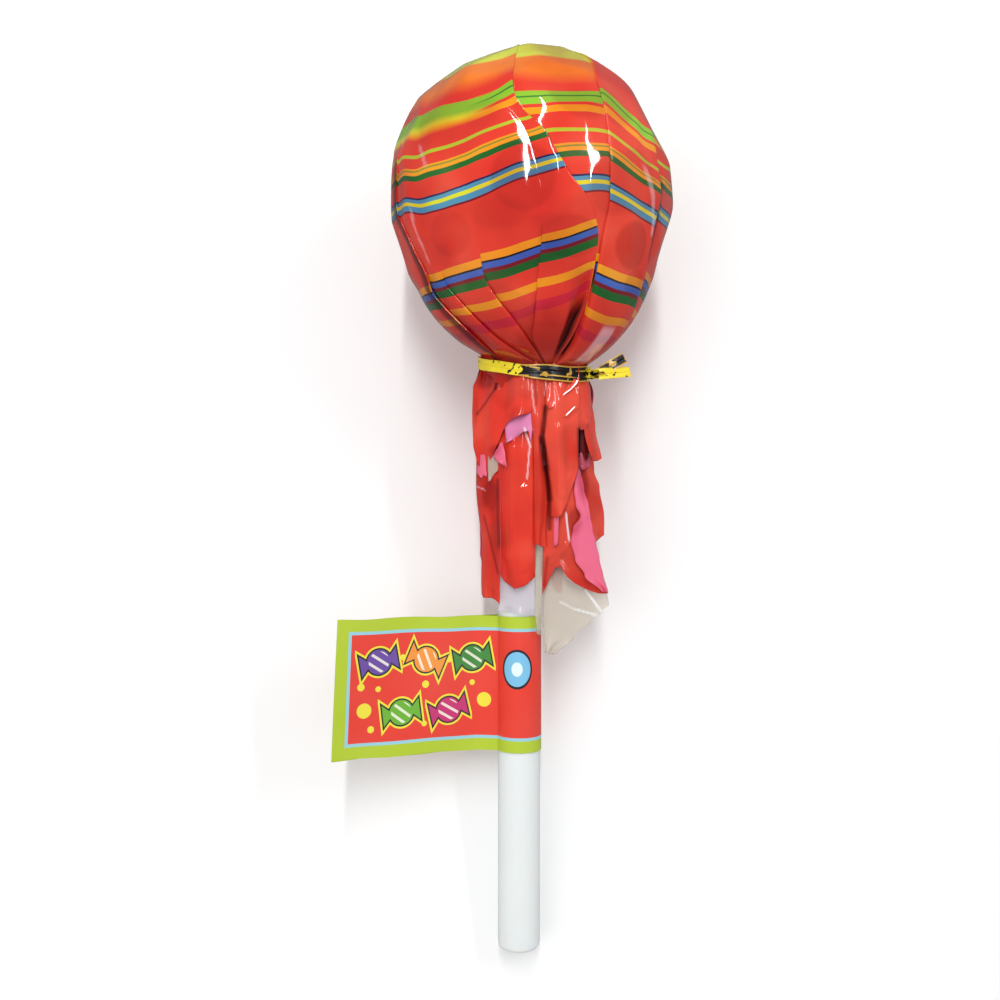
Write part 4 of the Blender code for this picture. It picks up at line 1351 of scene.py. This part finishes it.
# Each flap: where it starts, its sides by height as (z, left, right, front at left, front at right),
# its hem as (share of the way across, z), how far its middle swells and its small folds. Its shade darkens it as a
# second layer behind and as painted shade (on clear film it makes doubled film paler), and its gap paints shade over
# it.
flaps = {
    "underLeft": {
        "top": -72.0,
        "sides": (
            (-72, -15, -6, 9, 14), (-92, -19.2, -9, 5, 13.5), (-103, -19.4, -10.6, 4, 12),
            (-123, -17.4, -10.6, 3, 11), (-144, -17.4, -10.7, 3, 9.6),
        ),
        "hem": ((0, -141.0), (0.1, -142.3), (0.6, -142.4), (0.8, -143.0), (1, -144.4)),
        "swell": 1.6, "folds": 1.0, "foldDepth": 0.7, "shade": 0.2,
    },
    "centre": {
        "top": -70.0,
        "sides": (
            (-70, -9, 1.0, 12.5, 15.4), (-89, -11.6, 0.9, 12.6, 15.2), (-105, -10.9, 1.4, 11.5, 13),
            (-125, -10.9, 1.6, 9.6, 11), (-139, -10.7, 1.8, 9.0, 9.8),
        ),
        "hem": ((0, -133.4), (0.12, -136.2), (0.4, -138.9), (0.7, -137.8), (0.9, -135.8), (1, -134.8)),
        "swell": 1.8, "folds": 2.0, "foldDepth": 0.5, "shade": 0.0,
    },
    "centreFold": {
        "top": -61.0,
        "sides": (
            (-61, -0.5, 5.0, 18.9, 18.4), (-80, -0.2, 5.2, 18.6, 17.4), (-90, 0.6, 4.2, 16.6, 15.4),
            (-105, 0.8, 5.6, 14.4, 13.6), (-124, 0.9, 4.9, 12.6, 11.4),
        ),
        "hem": ((0, -123.2), (0.5, -123.8), (1, -124.8)),
        "swell": 1.0, "folds": 1.0, "foldDepth": 0.5, "shade": 0.1,
    },
    "violetPatch": {
        "top": -77.0, "finish": "violet",
        "sides": ((-77, -9.0, 0.2, 14.2, 17.4), (-82, -9.2, 0.4, 14.4, 17.2), (-89, -8.6, -0.4, 14.6, 16.8)),
        "hem": ((0, -88.6), (0.35, -87.4), (0.6, -85.2), (0.85, -84.6), (1, -88.5)),
        "swell": 1.0, "folds": 1.0, "foldDepth": 0.4, "shade": 0.0,
    },
    "pinkWedge": {
        "top": -88.4, "finish": "pink",
        "sides": ((-88.4, -10.8, -9.8, 14.4, 15.2), (-92.6, -12.8, -9.0, 13.4, 14.9), (-97, -12.6, -8.4, 13.6, 14.6)),
        "hem": ((0, -93.8), (0.3, -95.2), (1, -97.0)),
        "swell": 0.6, "folds": 0.5, "foldDepth": 0.3, "shade": 0.0,
    },
    "pinkScrap": {
        "top": -92.0, "finish": "pink",
        "sides": ((-92, -18.6, -15.4, 6.5, 9.5), (-98, -19.0, -15.0, 6.8, 9.4), (-101, -18.2, -15.6, 6.8, 9.4)),
        "hem": ((0, -98.4), (0.35, -100.6), (0.7, -99.4), (1, -99.9)),
        "swell": 0.8, "folds": 0.5, "foldDepth": 0.3, "shade": 0.0,
    },
    "upperLeft": {
        "top": -61.0,
        "sides": (
            (-61, -17.6, 1.2, 3.5, 19.0), (-68, -20.4, 1.2, 3.5, 19.6), (-78, -20.6, 1.0, 4.5, 19.4),
            (-88, -20.4, 0.6, 5.5, 18.6), (-95, -19.0, 0, 6.5, 17.5),
        ),
        "hem": (
            (0, -95.2), (0.06, -96.2), (0.2, -95.6), (0.34, -91.8), (0.44, -88.0), (0.5, -84.4),
            (0.58, -81.4), (0.68, -80.2), (0.85, -79.2), (1, -78.0),
        ),
        "swell": 3.4, "folds": 2.5, "foldDepth": 0.75, "shade": 0.0,
    },
    "rightCentre": {
        "top": -61.0,
        "sides": (
            (-61, 4.2, 16.6, 18.6, 12.2), (-75, 4.8, 16.6, 18.8, 13.6), (-86, 4.2, 16.4, 17.2, 14.2),
            (-92, 4.9, 16.3, 16.8, 14.4), (-105, 6.2, 16.0, 15.0, 14.0), (-117, 6.6, 15.8, 13.6, 13.0),
        ),
        "hem": (
            (0, -113.8), (0.2, -114.2), (0.4, -113.4), (0.58, -110.0), (0.72, -105.5), (0.88, -101.0), (1, -96.5),
        ),
        "swell": 1.6, "folds": 1.5, "foldDepth": 0.5, "shade": 0.0,
    },
    "glossyFold": {
        "top": -66.6,
        "sides": ((-66.6, 14.4, 16.4, 15.5, 14.9), (-77.2, 5.2, 7.2, 19.6, 19.0)),
        "hem": ((0, -77.2), (1, -77.2)),
        "swell": 0.02, "folds": 0.0, "foldDepth": 0.0, "shade": 0.0, "give": 0.15, "hemWave": 0.0,
    },
    "glossyPleat": {
        "top": -75.6,
        "sides": ((-75.6, 14.6, 16.4, 15.8, 15.2), (-79.8, 11.0, 12.8, 17.4, 16.8)),
        "hem": ((0, -79.8), (1, -79.8)),
        "swell": 0.02, "folds": 0.0, "foldDepth": 0.0, "shade": 0.0, "give": 0.15, "hemWave": 0.0,
    },
    "rightThird": {
        "top": -84.0,
        "sides": (
            (-84, 17.0, 21.4, 6.0, 1.5), (-97, 16.4, 22.9, 6.6, 1.5), (-103, 16.6, 24.8, 6.8, 1.2),
            (-114, 18.4, 26.6, 6.8, 1.2), (-122, 21.4, 26.6, 6.4, 1.2),
        ),
        "hem": ((0, -119.6), (0.25, -123.0), (0.6, -121.8), (1, -120.2)),
        "swell": 0.9, "folds": 1.0, "foldDepth": 0.5, "shade": 0.12,
    },
    # a dark sheet standing for the shade between the right flaps: painted shade
    "paintedShadeFlap": {
        "top": -78.0,
        "sides": ((-78, 15.4, 20.4, 10.4, 7.0), (-95, 15.8, 21.2, 10.0, 6.2)),
        "hem": ((0, -93.6), (0.4, -92.6), (0.7, -94.2), (1, -91.8)),
        "swell": 0.3, "folds": 1.5, "foldDepth": 0.5, "shade": 1.0, "gap": 0.62,
    },
    "pinkDull": {
        "top": -88.0, "finish": "pink",
        "sides": ((-88, 15.6, 20.6, 9.2, 5.8), (-98, 16.0, 21.2, 9.0, 5.4)),
        "hem": ((0, -97.8), (0.5, -97.2), (1, -95.8)),
        "swell": 0.5, "folds": 1.0, "foldDepth": 0.3, "shade": 0.5,
    },
    "rightSecond": {
        "top": -70.0,
        "sides": ((-70, 17.6, 21.6, 10.4, 3.4), (-82, 18.6, 23.2, 10.8, 3.8), (-94, 20.4, 25.3, 10.2, 3.8)),
        "hem": ((0, -90.6), (0.3, -94.4), (0.7, -93.8), (1, -93.0)),
        "swell": 0.6, "folds": 1.0, "foldDepth": 0.3, "shade": 0.05,
    },
    "rightTop": {
        "top": -64.2,
        "sides": ((-64.2, 15.8, 20.6, 12.0, 4.6), (-70, 15.9, 21.2, 14.0, 6.2), (-84, 16.0, 22.1, 13.8, 6.6)),
        "hem": ((0, -81.8), (0.22, -83.8), (0.45, -83.2), (0.55, -81.8), (0.75, -81.2), (1, -79.4)),
        "swell": 0.8, "folds": 1.0, "foldDepth": 0.4, "shade": 0.0,
    },
    "redPoint": {
        "top": -96.0,
        "sides": (
            (-96, 4.8, 16.0, 12.6, 12.6), (-120, 4.4, 20.8, 10.6, 10.4), (-130, 4.2, 23.6, 10.0, 9.6),
            (-141, 4.0, 27.0, 9.6, 8.8),
        ),
        "hem": (
            (0, -141.4), (0.06, -138.5), (0.14, -134.2), (0.21, -131.6), (0.31, -130.9), (0.40, -134.6),
            (0.5, -136.8), (0.6, -138.2), (0.72, -139.6), (0.85, -140.6), (1, -140.6),
        ),
        "swell": 1.4, "folds": 1.0, "foldDepth": 0.4, "shade": 0.08,
    },
    "pinkPanel": {
        "top": -96.6, "finish": "pink",
        "sides": (
            (-96.6, 15.6, 16.8, 13.2, 13.0), (-104.6, 14.8, 18.4, 13.0, 12.2), (-110, 15.4, 19.9, 12.8, 11.9),
            (-113.6, 17.0, 20.5, 12.8, 11.7), (-118, 14.4, 21.4, 12.8, 11.5), (-122.6, 13.8, 22.6, 12.6, 11.2),
            (-128.5, 15.2, 23.9, 12.2, 10.8), (-134.4, 18.6, 25.2, 11.6, 10.4), (-140.3, 24.6, 27.0, 10.6, 10.0),
        ),
        "hem": ((0, -139.8), (1, -140.4)),
        "swell": 0.6, "folds": 0.5, "foldDepth": 0.2, "shade": 0.0, "give": 0.35,
    },
    "pinkStrip": {
        "top": -112.0, "finish": "pink",
        "sides": ((-112, 7.8, 9.6, 13.0, 13.2), (-125, 7.8, 9.2, 12.4, 12.6)),
        "hem": ((0, -124.4), (1, -123.6)),
        "swell": 0.2, "folds": 0.5, "foldDepth": 0.1, "shade": 0.0,
    },
}
clearFlaps = {
    "corner": {
        "top": -118.0,
        "sides": (
            (-118, 5.0, 20.5, 7.6, 7.4), (-141, 4.3, 27.0, 6.4, 6.0), (-144.6, 4.3, 27.6, 6.4, 5.8),
            (-147.4, 4.3, 25.0, 6.4, 5.8), (-151, 4.4, 20.8, 6.4, 6.0), (-156.4, 4.6, 15.2, 6.4, 6.4),
            (-162.2, 5.0, 9.0, 6.6, 6.8),
        ),
        "hem": ((0, -161.6), (0.6, -162.2), (1, -161.8)),
        "swell": 1.2, "folds": 1.0, "foldDepth": 0.5, "shade": 0.0,
    },
    "overStick": {
        "top": -128.0,
        "sides": ((-128, -11.0, 1.8, 8.4, 9.4), (-148, -11.3, 1.6, 8.0, 8.6)),
        "hem": ((0, -146.8), (0.5, -147.6), (1, -148.4)),
        "swell": 0.4, "folds": 1.0, "foldDepth": 0.15, "shade": 1.0,
    },
    "stickStrip": {
        "top": -116.0,
        "sides": ((-116, 1.4, 5.0, 11.0, 10.4), (-130, 1.6, 4.4, 9.8, 9.0), (-156, 1.8, 3.8, 9.0, 7.6)),
        "hem": ((0, -154.6), (1, -155.6)),
        "swell": 0.3, "folds": 0.5, "foldDepth": 0.1, "shade": 0.0,
    },
    "leftBit": {
        "top": -92.0,
        "sides": ((-92, -15.0, -11.4, 10.6, 12.6), (-104, -14.8, -11.2, 10.4, 12.2)),
        "hem": ((0, -101.6), (0.2, -101.4), (0.6, -99.0), (1, -97.8)),
        "swell": 0.3, "folds": 0.5, "foldDepth": 0.2, "shade": 0.0,
    },
}
# The side and back flaps follow the gathered film's round: middle azimuth, width, hem height, hem radius.
roundFlaps = (
    (-118, 60, -134, 12.9), (-150, 56, -131, 14.8), (172, 62, -128, 14.2), (138, 56, -136, 14.4),
    (116, 48, -139, 16.5), (101, 24, -122, 19.5),
)
innerTube = {"folds": 13, "foldDepth": 1.4, "frontHem": -104.0, "backHem": -116.0, "hemRadius": 9.6, "columns": 180}
# Sharp creases, raised and whitened, the whitening partly real and partly painted highlight: two ends as (x, z), half
# width, strength.
creaseLines = (
    (-2.6, -83.6, -0.5, -90.0, 0.3, 0.85), (-0.8, -90.8, -1.5, -101.0, 0.24, 0.75),
    (-0.1, -69.2, 1.0, -78.6, 0.22, 0.5), (4.6, -68.2, 4.4, -72.6, 0.2, 0.4),
    (12.0, -112.8, 13.2, -122.0, 0.34, 0.9), (-19.4, -103.0, -16.0, -104.4, 0.22, 0.4),
)
# Raised folds that only catch the light, in the same form.
ridgeLines = (
    (-18.6, -80.0, -18.2, -91.0, 1.2, 0.8), (-13.5, -72.0, -15.5, -84.0, 1.4, 0.7),
    (-6.0, -66.0, -6.8, -78.0, 1.6, 0.7), (-18.4, -76.6, -12.0, -68.6, 1.0, 0.8),
    (-8.0, -100.0, -7.6, -128.0, 1.5, 0.8), (-2.6, -104.0, -2.2, -132.0, 1.2, 0.6),
    (9.8, -84.0, 10.4, -106.0, 1.6, 0.7),
    (18.6, -101.0, 22.6, -118.0, 1.2, 0.7), (6.6, -130.0, 12.2, -124.0, 1.0, 0.7), (21.0, -84.0, 22.6, -93.0, 1.0, 0.8),
    (-14.6, -116.0, -13.8, -138.0, 1.2, 0.8), (18.4, -66.0, 19.2, -80.0, 1.2, 0.7),
)
# Raised creases on the clear film, whitened as painted highlight, in the same form.
clearRidgesAndHighlights = (
    (10.4, -143.8, 15.4, -146.4, 0.4, 0.5), (15.4, -146.4, 21.6, -148.2, 0.35, 0.8),
    (19.4, -139.6, 25.4, -148.0, 0.42, 1.0), (22.4, -148.6, 23.6, -149.4, 0.7, 0.7),
    (12.8, -135.4, 18.2, -139.0, 0.25, 0.45),
)
# Deep folds where hardly any light comes out, painted with shade, in the same form, and broad places of
# painted shade as middle x, middle z, half width, half height, strength.
darkLines = (
    (-10.8, -63.4, -12.5, -69.9, 0.5, 0.95), (-12.5, -69.9, -18.8, -77.5, 0.4, 0.6),
    (4.8, -76.6, 3.4, -87.2, 0.8, 0.75), (3.4, -87.2, 5.2, -98.0, 1.1, 0.85),
    (5.2, -98.0, 6.2, -108.0, 0.9, 0.8), (6.2, -108.0, 6.4, -118.0, 0.7, 0.6),
    (-16.3, -113.6, -11.4, -133.7, 0.35, 0.45), (-11.6, -101.0, -11.2, -124.0, 0.5, 0.5),
    (0.9, -64.0, 1.6, -76.0, 0.4, 0.35), (5.6, -128.0, 4.8, -138.0, 0.5, 0.35),
    (16.6, -83.6, 16.8, -97.0, 0.8, 0.7),
)
darkSpots = (
    (-15.4, -65.6, 3.8, 3.4, 1.0), (-14.3, -106.0, 2.8, 5.4, 1.0), (-12.6, -118.0, 1.8, 14.0, 0.5),
    (15.0, -115.2, 2.6, 4.8, 1.0), (18.2, -101.5, 2.4, 7.0, 1.0), (10.5, -62.0, 8.0, 3.4, 0.5),
    (-12.4, -91.0, 2.0, 2.0, 0.8), (3.0, -100.0, 1.6, 18.0, 0.4), (12.0, -122.0, 4.0, 9.0, 0.3),
    (-19.4, -76.0, 1.0, 6.0, 0.5), (-5.0, -86.0, 4.0, 3.0, 0.3),
)


def spotShade(x, z):
    total = 0.0
    for middleX, middleZ, wide, high, strength in darkSpots:
        total += strength * smooth(1.4 - math.hypot((x - middleX) / wide, (z - middleZ) / high))
    return total


def lineShare(lines, x, z):
    total = 0.0
    for startX, startZ, endX, endZ, half, strength in lines:
        run = Vector((endX - startX, endZ - startZ))
        off = Vector((x - startX, z - startZ))
        along = min(1.0, max(0.0, off.dot(run) / run.length_squared))
        far = (off - run * along).length
        total = max(total, strength * smooth(1.5 - far / half))
    return total


class SheetStore:  # gathers several sheets into one mesh
    def __init__(self):
        self.points = []
        self.faces = []
        self.slots = []
        self.uvs = []
        self.values = {name: [] for name in filmAttributes}

    def add(self, grid, values, outside, inside, closed=False):
        rows, columns = len(grid), len(grid[0])
        start = len(self.points)
        normals = []
        for row in range(rows):
            for column in range(columns):
                above = grid[max(row - 1, 0)][column]
                below = grid[min(row + 1, rows - 1)][column]
                if closed:
                    left, right = grid[row][column - 1], grid[row][(column + 1) % columns]
                else:
                    left, right = grid[row][max(column - 1, 0)], grid[row][min(column + 1, columns - 1)]
                normals.append((below - above).cross(right - left).normalized())
        for layer in range(2):
            for row in range(rows):
                for column in range(columns):
                    normal = normals[row * columns + column]
                    self.points.append(grid[row][column] - normal * skirt["wall"] * layer)
                    self.uvs.append((column / columns, 0.93))
                    for key, value in zip(self.values, values[row][column]):
                        self.values[key].append(value)
        half = rows * columns
        outer = gridFaces(rows, columns, closed, start)
        self.faces += outer
        self.faces += [tuple(corner + half for corner in reversed(face)) for face in outer]
        self.slots += [outside] * len(outer) + [inside] * len(outer)
        if closed:
            rims = [[c for c in range(columns)], [(rows - 1) * columns + c for c in range(columns - 1, -1, -1)]]
        else:
            rim = [c for c in range(columns)] + [r * columns + columns - 1 for r in range(1, rows)]
            rim += [(rows - 1) * columns + c for c in range(columns - 2, -1, -1)]
            rim += [r * columns for r in range(rows - 2, 0, -1)]
            rims = [rim]
        for rim in rims:
            for a, b in zip(rim, rim[1:] + rim[:1]):
                self.faces.append((start + a, start + b, start + half + b, start + half + a))
                self.slots.append(inside)

    def build(self, name, materials):
        return addMesh(name, self.points, self.faces, materials, self.values, self.uvs, self.slots)


slotNumbers = {"red": 0, "pink": 1, "violet": 2}


def addFlap(store, spec, lines, phase):
    sides = sorted(spec["sides"], key=lambda row: -row[0])
    sides = [(-row[0], *row[1:]) for row in sides]
    hemLow = min(z for share, z in spec["hem"])
    wide = max(row[2] - row[1] for row in sides)
    clear = lines is clearRidgesAndHighlights
    columns = max(8, round(wide / (skirt["clearStep"] if clear else skirt["columnStep"])))
    rows = max(10, round((spec["top"] - hemLow) / (skirt["clearStep"] if clear else skirt["rowStep"])))
    grid = []
    values = []
    for row in range(rows + 1):
        down = row / rows
        gridRow = []
        valueRow = []
        for column in range(columns + 1):
            share = column / columns
            hem = between(spec["hem"], share)
            z = spec["top"] + (hem - spec["top"]) * down
            left, right, frontLeft, frontRight = (eased(sides, -z, k) for k in (1, 2, 3, 4))
            x = left + (right - left) * share
            free = smooth(down * 2.5)
            front = frontLeft + (frontRight - frontLeft) * share
            front += spec["swell"] * 4 * share * (1 - share) * (0.35 + 0.65 * free)
            front += spec["foldDepth"] * math.sin(math.tau * spec["folds"] * share + phase + 0.8 * down)
            gather = 0.5 * math.sin(x * 2.1 + phase) * smooth(1 - (spec["top"] - z) / 14)
            if spec["top"] > -62:
                front += gather
            hemWave = spec.get("hemWave", 0.9)
            front += hemWave * smooth((down - 0.86) / 0.14) * math.sin(share * 9 + phase)
            crease = lineShare(lines, x, z)
            doubledAndShade = spec["shade"]
            dark = 0.0
            if not clear:
                # painted shade in deep folds, and on the flap that stands for shade
                dark = min(1.0, lineShare(darkLines, x, z) + spec.get("gap", 0.0))
                # painted shade in broad places and just under the tie, added to the flap's own darkening
                doubledAndShade += spotShade(x, z) + 0.35 * smooth(1 - (pack["waistMiddle"] - z - 2) / 9)
                front += skirt["ridge"] * lineShare(ridgeLines, x, z)
            front += skirt["crease"] * (crease - dark)
            gridRow.append(Vector((x, -front, z)))
            give = spec.get("give", 1.0) * (0.25 + 0.75 * free)
            valueRow.append((min(doubledAndShade, 1.0), crease, dark, 0.0, give, 0.0))
        grid.append(gridRow)
        values.append(valueRow)
    number = slotNumbers[spec.get("finish", "red")]
    store.add(grid, values, number, 1 if number == 0 else 0)


def addRoundFlap(store, azimuth, width, hem, radius, phase):
    rows, columns = 44, 26
    grid = []
    values = []
    for row in range(rows + 1):
        down = row / rows
        gridRow = []
        valueRow = []
        for column in range(columns + 1):
            share = column / columns
            turned = azimuth + width * (share - 0.5)
            angle = math.radians(turned)
            low = hem + 3.0 * math.sin(7 * share + phase) + 5.0 * abs(2 * share - 1) ** 2
            spread = smooth(down / 0.95)
            reach = pack["waistRadius"] + 2.2 * smooth(down / 0.14) - 2.2 * smooth((down - 0.14) / 0.5)
            reach += (radius - pack["waistRadius"]) * spread
            reach += 0.8 * math.sin(math.tau * 2 * share + phase + down) * smooth(down * 3) + 0.5
            centre = pack["waistOffset"] + (pack["stickOffset"] - pack["waistOffset"]) * spread
            top = pack["waistMiddle"] - waistDrop(turned, reach) * (1 - down)
            z = top + (low - pack["waistMiddle"]) * down
            gridRow.append(Vector((centre + reach * math.sin(angle), -reach * math.cos(angle), z)))
            # darker all over, and most just under the tie where painted shade is put
            valueRow.append((0.2 + 0.3 * smooth(1 - down * 6), 0.0, 0.0, 0.0, 0.3 + 0.7 * smooth(down * 2), 0.0))
        grid.append(gridRow)
        values.append(valueRow)
    store.add(grid, values, 0, 1)


def addInnerTube(store):
    rows, columns = 40, innerTube["columns"]
    grid = []
    values = []
    for row in range(rows + 1):
        down = row / rows
        gridRow = []
        valueRow = []
        for column in range(columns):
            turned = 360 * column / columns
            angle = math.radians(turned)
            backShare = smooth((1 - math.cos(angle)) / 2)
            low = innerTube["frontHem"] + (innerTube["backHem"] - innerTube["frontHem"]) * backShare
            low += 3.0 * math.sin(angle * 5) + 2.0 * math.sin(angle * 8 + 1)
            spread = smooth(down)
            reach = pack["waistRadius"] - 0.5 * smooth(down * 8)
            reach += (innerTube["hemRadius"] - pack["waistRadius"]) * spread
            fold = math.sin(angle * innerTube["folds"] + 1.5 * math.sin(angle * 3))
            reach += innerTube["foldDepth"] * fold * smooth(down * 6) * 0.6
            centre = pack["waistOffset"] + (pack["stickOffset"] - pack["waistOffset"]) * spread
            top = pack["waistMiddle"] - waistDrop(turned, reach) * (1 - down)
            z = top + (low - pack["waistMiddle"]) * down
            gridRow.append(Vector((centre + reach * math.sin(angle), -reach * math.cos(angle), z)))
            # painted shade inside the skirt and in the hollows of its folds
            valueRow.append((0.75, 0.0, 0.25 * smooth(-fold), 0.0, 0.2, 0.0))
        grid.append(gridRow)
        values.append(valueRow)
    store.add(grid, values, 0, 1, closed=True)


def buildSkirt():
    store = SheetStore()
    addInnerTube(store)
    for index, (azimuth, width, hem, radius) in enumerate(roundFlaps):
        addRoundFlap(store, azimuth, width, hem, radius, 1.7 * index)
    for index, spec in enumerate(flaps.values()):
        addFlap(store, spec, creaseLines, 2.4 * index)
    return store.build("skirtFilm", [printedFilm, reverseFilm, violetFilm])


def buildClearMargin():
    store = SheetStore()
    for index, spec in enumerate(clearFlaps.values()):
        addFlap(store, spec, clearRidgesAndHighlights, 2.4 * index)
    made = store.build("clearMargin", [clearFilm])
    made.data.polygons.foreach_set("material_index", [0] * len(made.data.polygons))
    return made


skirtRelief = {"Wave Height": 0.4, "Wave Size": 16.0, "Crinkle Height": 0.13, "Crinkle Size": 5.5, "Seed": 7.0}
skirtFilm = buildSkirt()
settings = dict(skirtRelief)
settings["Finish"] = printedFilm
settings["Reverse Finish"] = reverseFilm
runTree(skirtFilm, filmRelief, settings)
dress(skirtFilm, "printed_film", "film_skirt")
clearMargin = buildClearMargin()
settings["Finish"] = clearFilm
settings["Reverse Finish"] = clearFilm
runTree(clearMargin, filmRelief, settings)
dress(clearMargin, "printed_film", "film_skirt")
print("hanging film made:", len(skirtFilm.data.polygons), "faces")


# Floor, light and camera
studio = {
    "floorSize": 4.0,
    "worldStrength": 0.5,
    "worldGloss": 0.2,      # how much of the world shows in gloss
    "softLight": {"place": (-0.75, -0.35, 1.15), "size": (1.1, 1.1), "power": 5.2, "shines": False},
    "fillLight": {"place": (0.9, -0.5, 1.0), "size": (0.9, 0.9), "power": 1.0, "shines": False},
    "stripLight": {"place": (-0.03, 0.34, 1.05), "size": (0.052, 0.98), "power": 5.8, "shines": True},
    "sideStrip": {"place": (0.62, 0.24, 0.80), "size": (0.022, 0.5), "power": 1.4, "shines": True},
    "aim": (0.0, 0.0, 0.05),
}
camera = {"across": -10.8, "distance": 333.0, "along": -119.5, "lens": 33.3, "shiftUp": 0.033}


def addFloor():
    material, tree, shader = newMaterial("paleFloor")
    place = addNode(tree, "ShaderNodeTexCoord").outputs["Object"]
    cloud = addNode(tree, "ShaderNodeTexNoise", Vector=place, Scale=3.0, Detail=2.0)
    colour = mixColours(tree, cloud.outputs["Fac"], (0.93, 0.93, 0.93), (0.90, 0.90, 0.905))
    tree.links.new(colour, shader.inputs["Base Color"])
    shader.inputs["Roughness"].default_value = 0.85
    half = studio["floorSize"] / 2
    mesh = bpy.data.meshes.new("floor")
    mesh.from_pydata([(-half, -half, 0), (half, -half, 0), (half, half, 0), (-half, half, 0)], [], [(0, 1, 2, 3)])
    mesh.materials.append(material)
    made = bpy.data.objects.new("floor", mesh)
    bpy.context.scene.collection.objects.link(made)
    made.visible_glossy = False


def addWorld():  # white all round, and dimmer in gloss, as between black cards
    world = bpy.data.worlds.new("studioWorld")
    world.use_nodes = True
    tree = world.node_tree
    background = tree.nodes["Background"]
    background.inputs["Color"].default_value = (1, 1, 1, 1)
    glossy = addNode(tree, "ShaderNodeLightPath").outputs["Is Glossy Ray"]
    strength = math2(tree, "MULTIPLY_ADD", glossy, studio["worldGloss"] - studio["worldStrength"])
    strength.node.inputs[2].default_value = studio["worldStrength"]
    tree.links.new(strength, background.inputs["Strength"])
    bpy.context.scene.world = world


def addLight(name, facts):
    light = bpy.data.lights.new(name, "AREA")
    light.shape = "ELLIPSE"     # its mirror image tapers to both ends
    light.size, light.size_y = facts["size"]
    light.energy = facts["power"]
    made = bpy.data.objects.new(name, light)
    back = (Vector(facts["place"]) - Vector(studio["aim"])).normalized()
    side = Vector((0, 1, 0)).cross(back).normalized()
    turn = Matrix((side, back.cross(side), back)).transposed().to_4x4()
    made.matrix_world = Matrix.Translation(facts["place"]) @ turn
    made.visible_glossy = facts["shines"]
    bpy.context.scene.collection.objects.link(made)


def addCamera():
    made = bpy.data.objects.new("camera", bpy.data.cameras.new("camera"))
    made.data.sensor_width = 36.0
    made.data.lens = camera["lens"]
    made.data.shift_y = camera["shiftUp"]
    made.data.clip_start = 0.01
    place = laid @ Vector((camera["across"], -camera["distance"], camera["along"]))
    turn = laid.to_3x3().normalized().to_4x4() @ Matrix.Rotation(math.pi / 2, 4, "X")
    made.matrix_world = Matrix.Translation(place) @ turn
    bpy.context.scene.collection.objects.link(made)
    bpy.context.scene.camera = made


addFloor()
addWorld()
for name in ("softLight", "fillLight", "stripLight", "sideStrip"):
    addLight(name, studio[name])
bpy.context.scene.view_settings.view_transform = "Standard"
addCamera()
print("studio set")
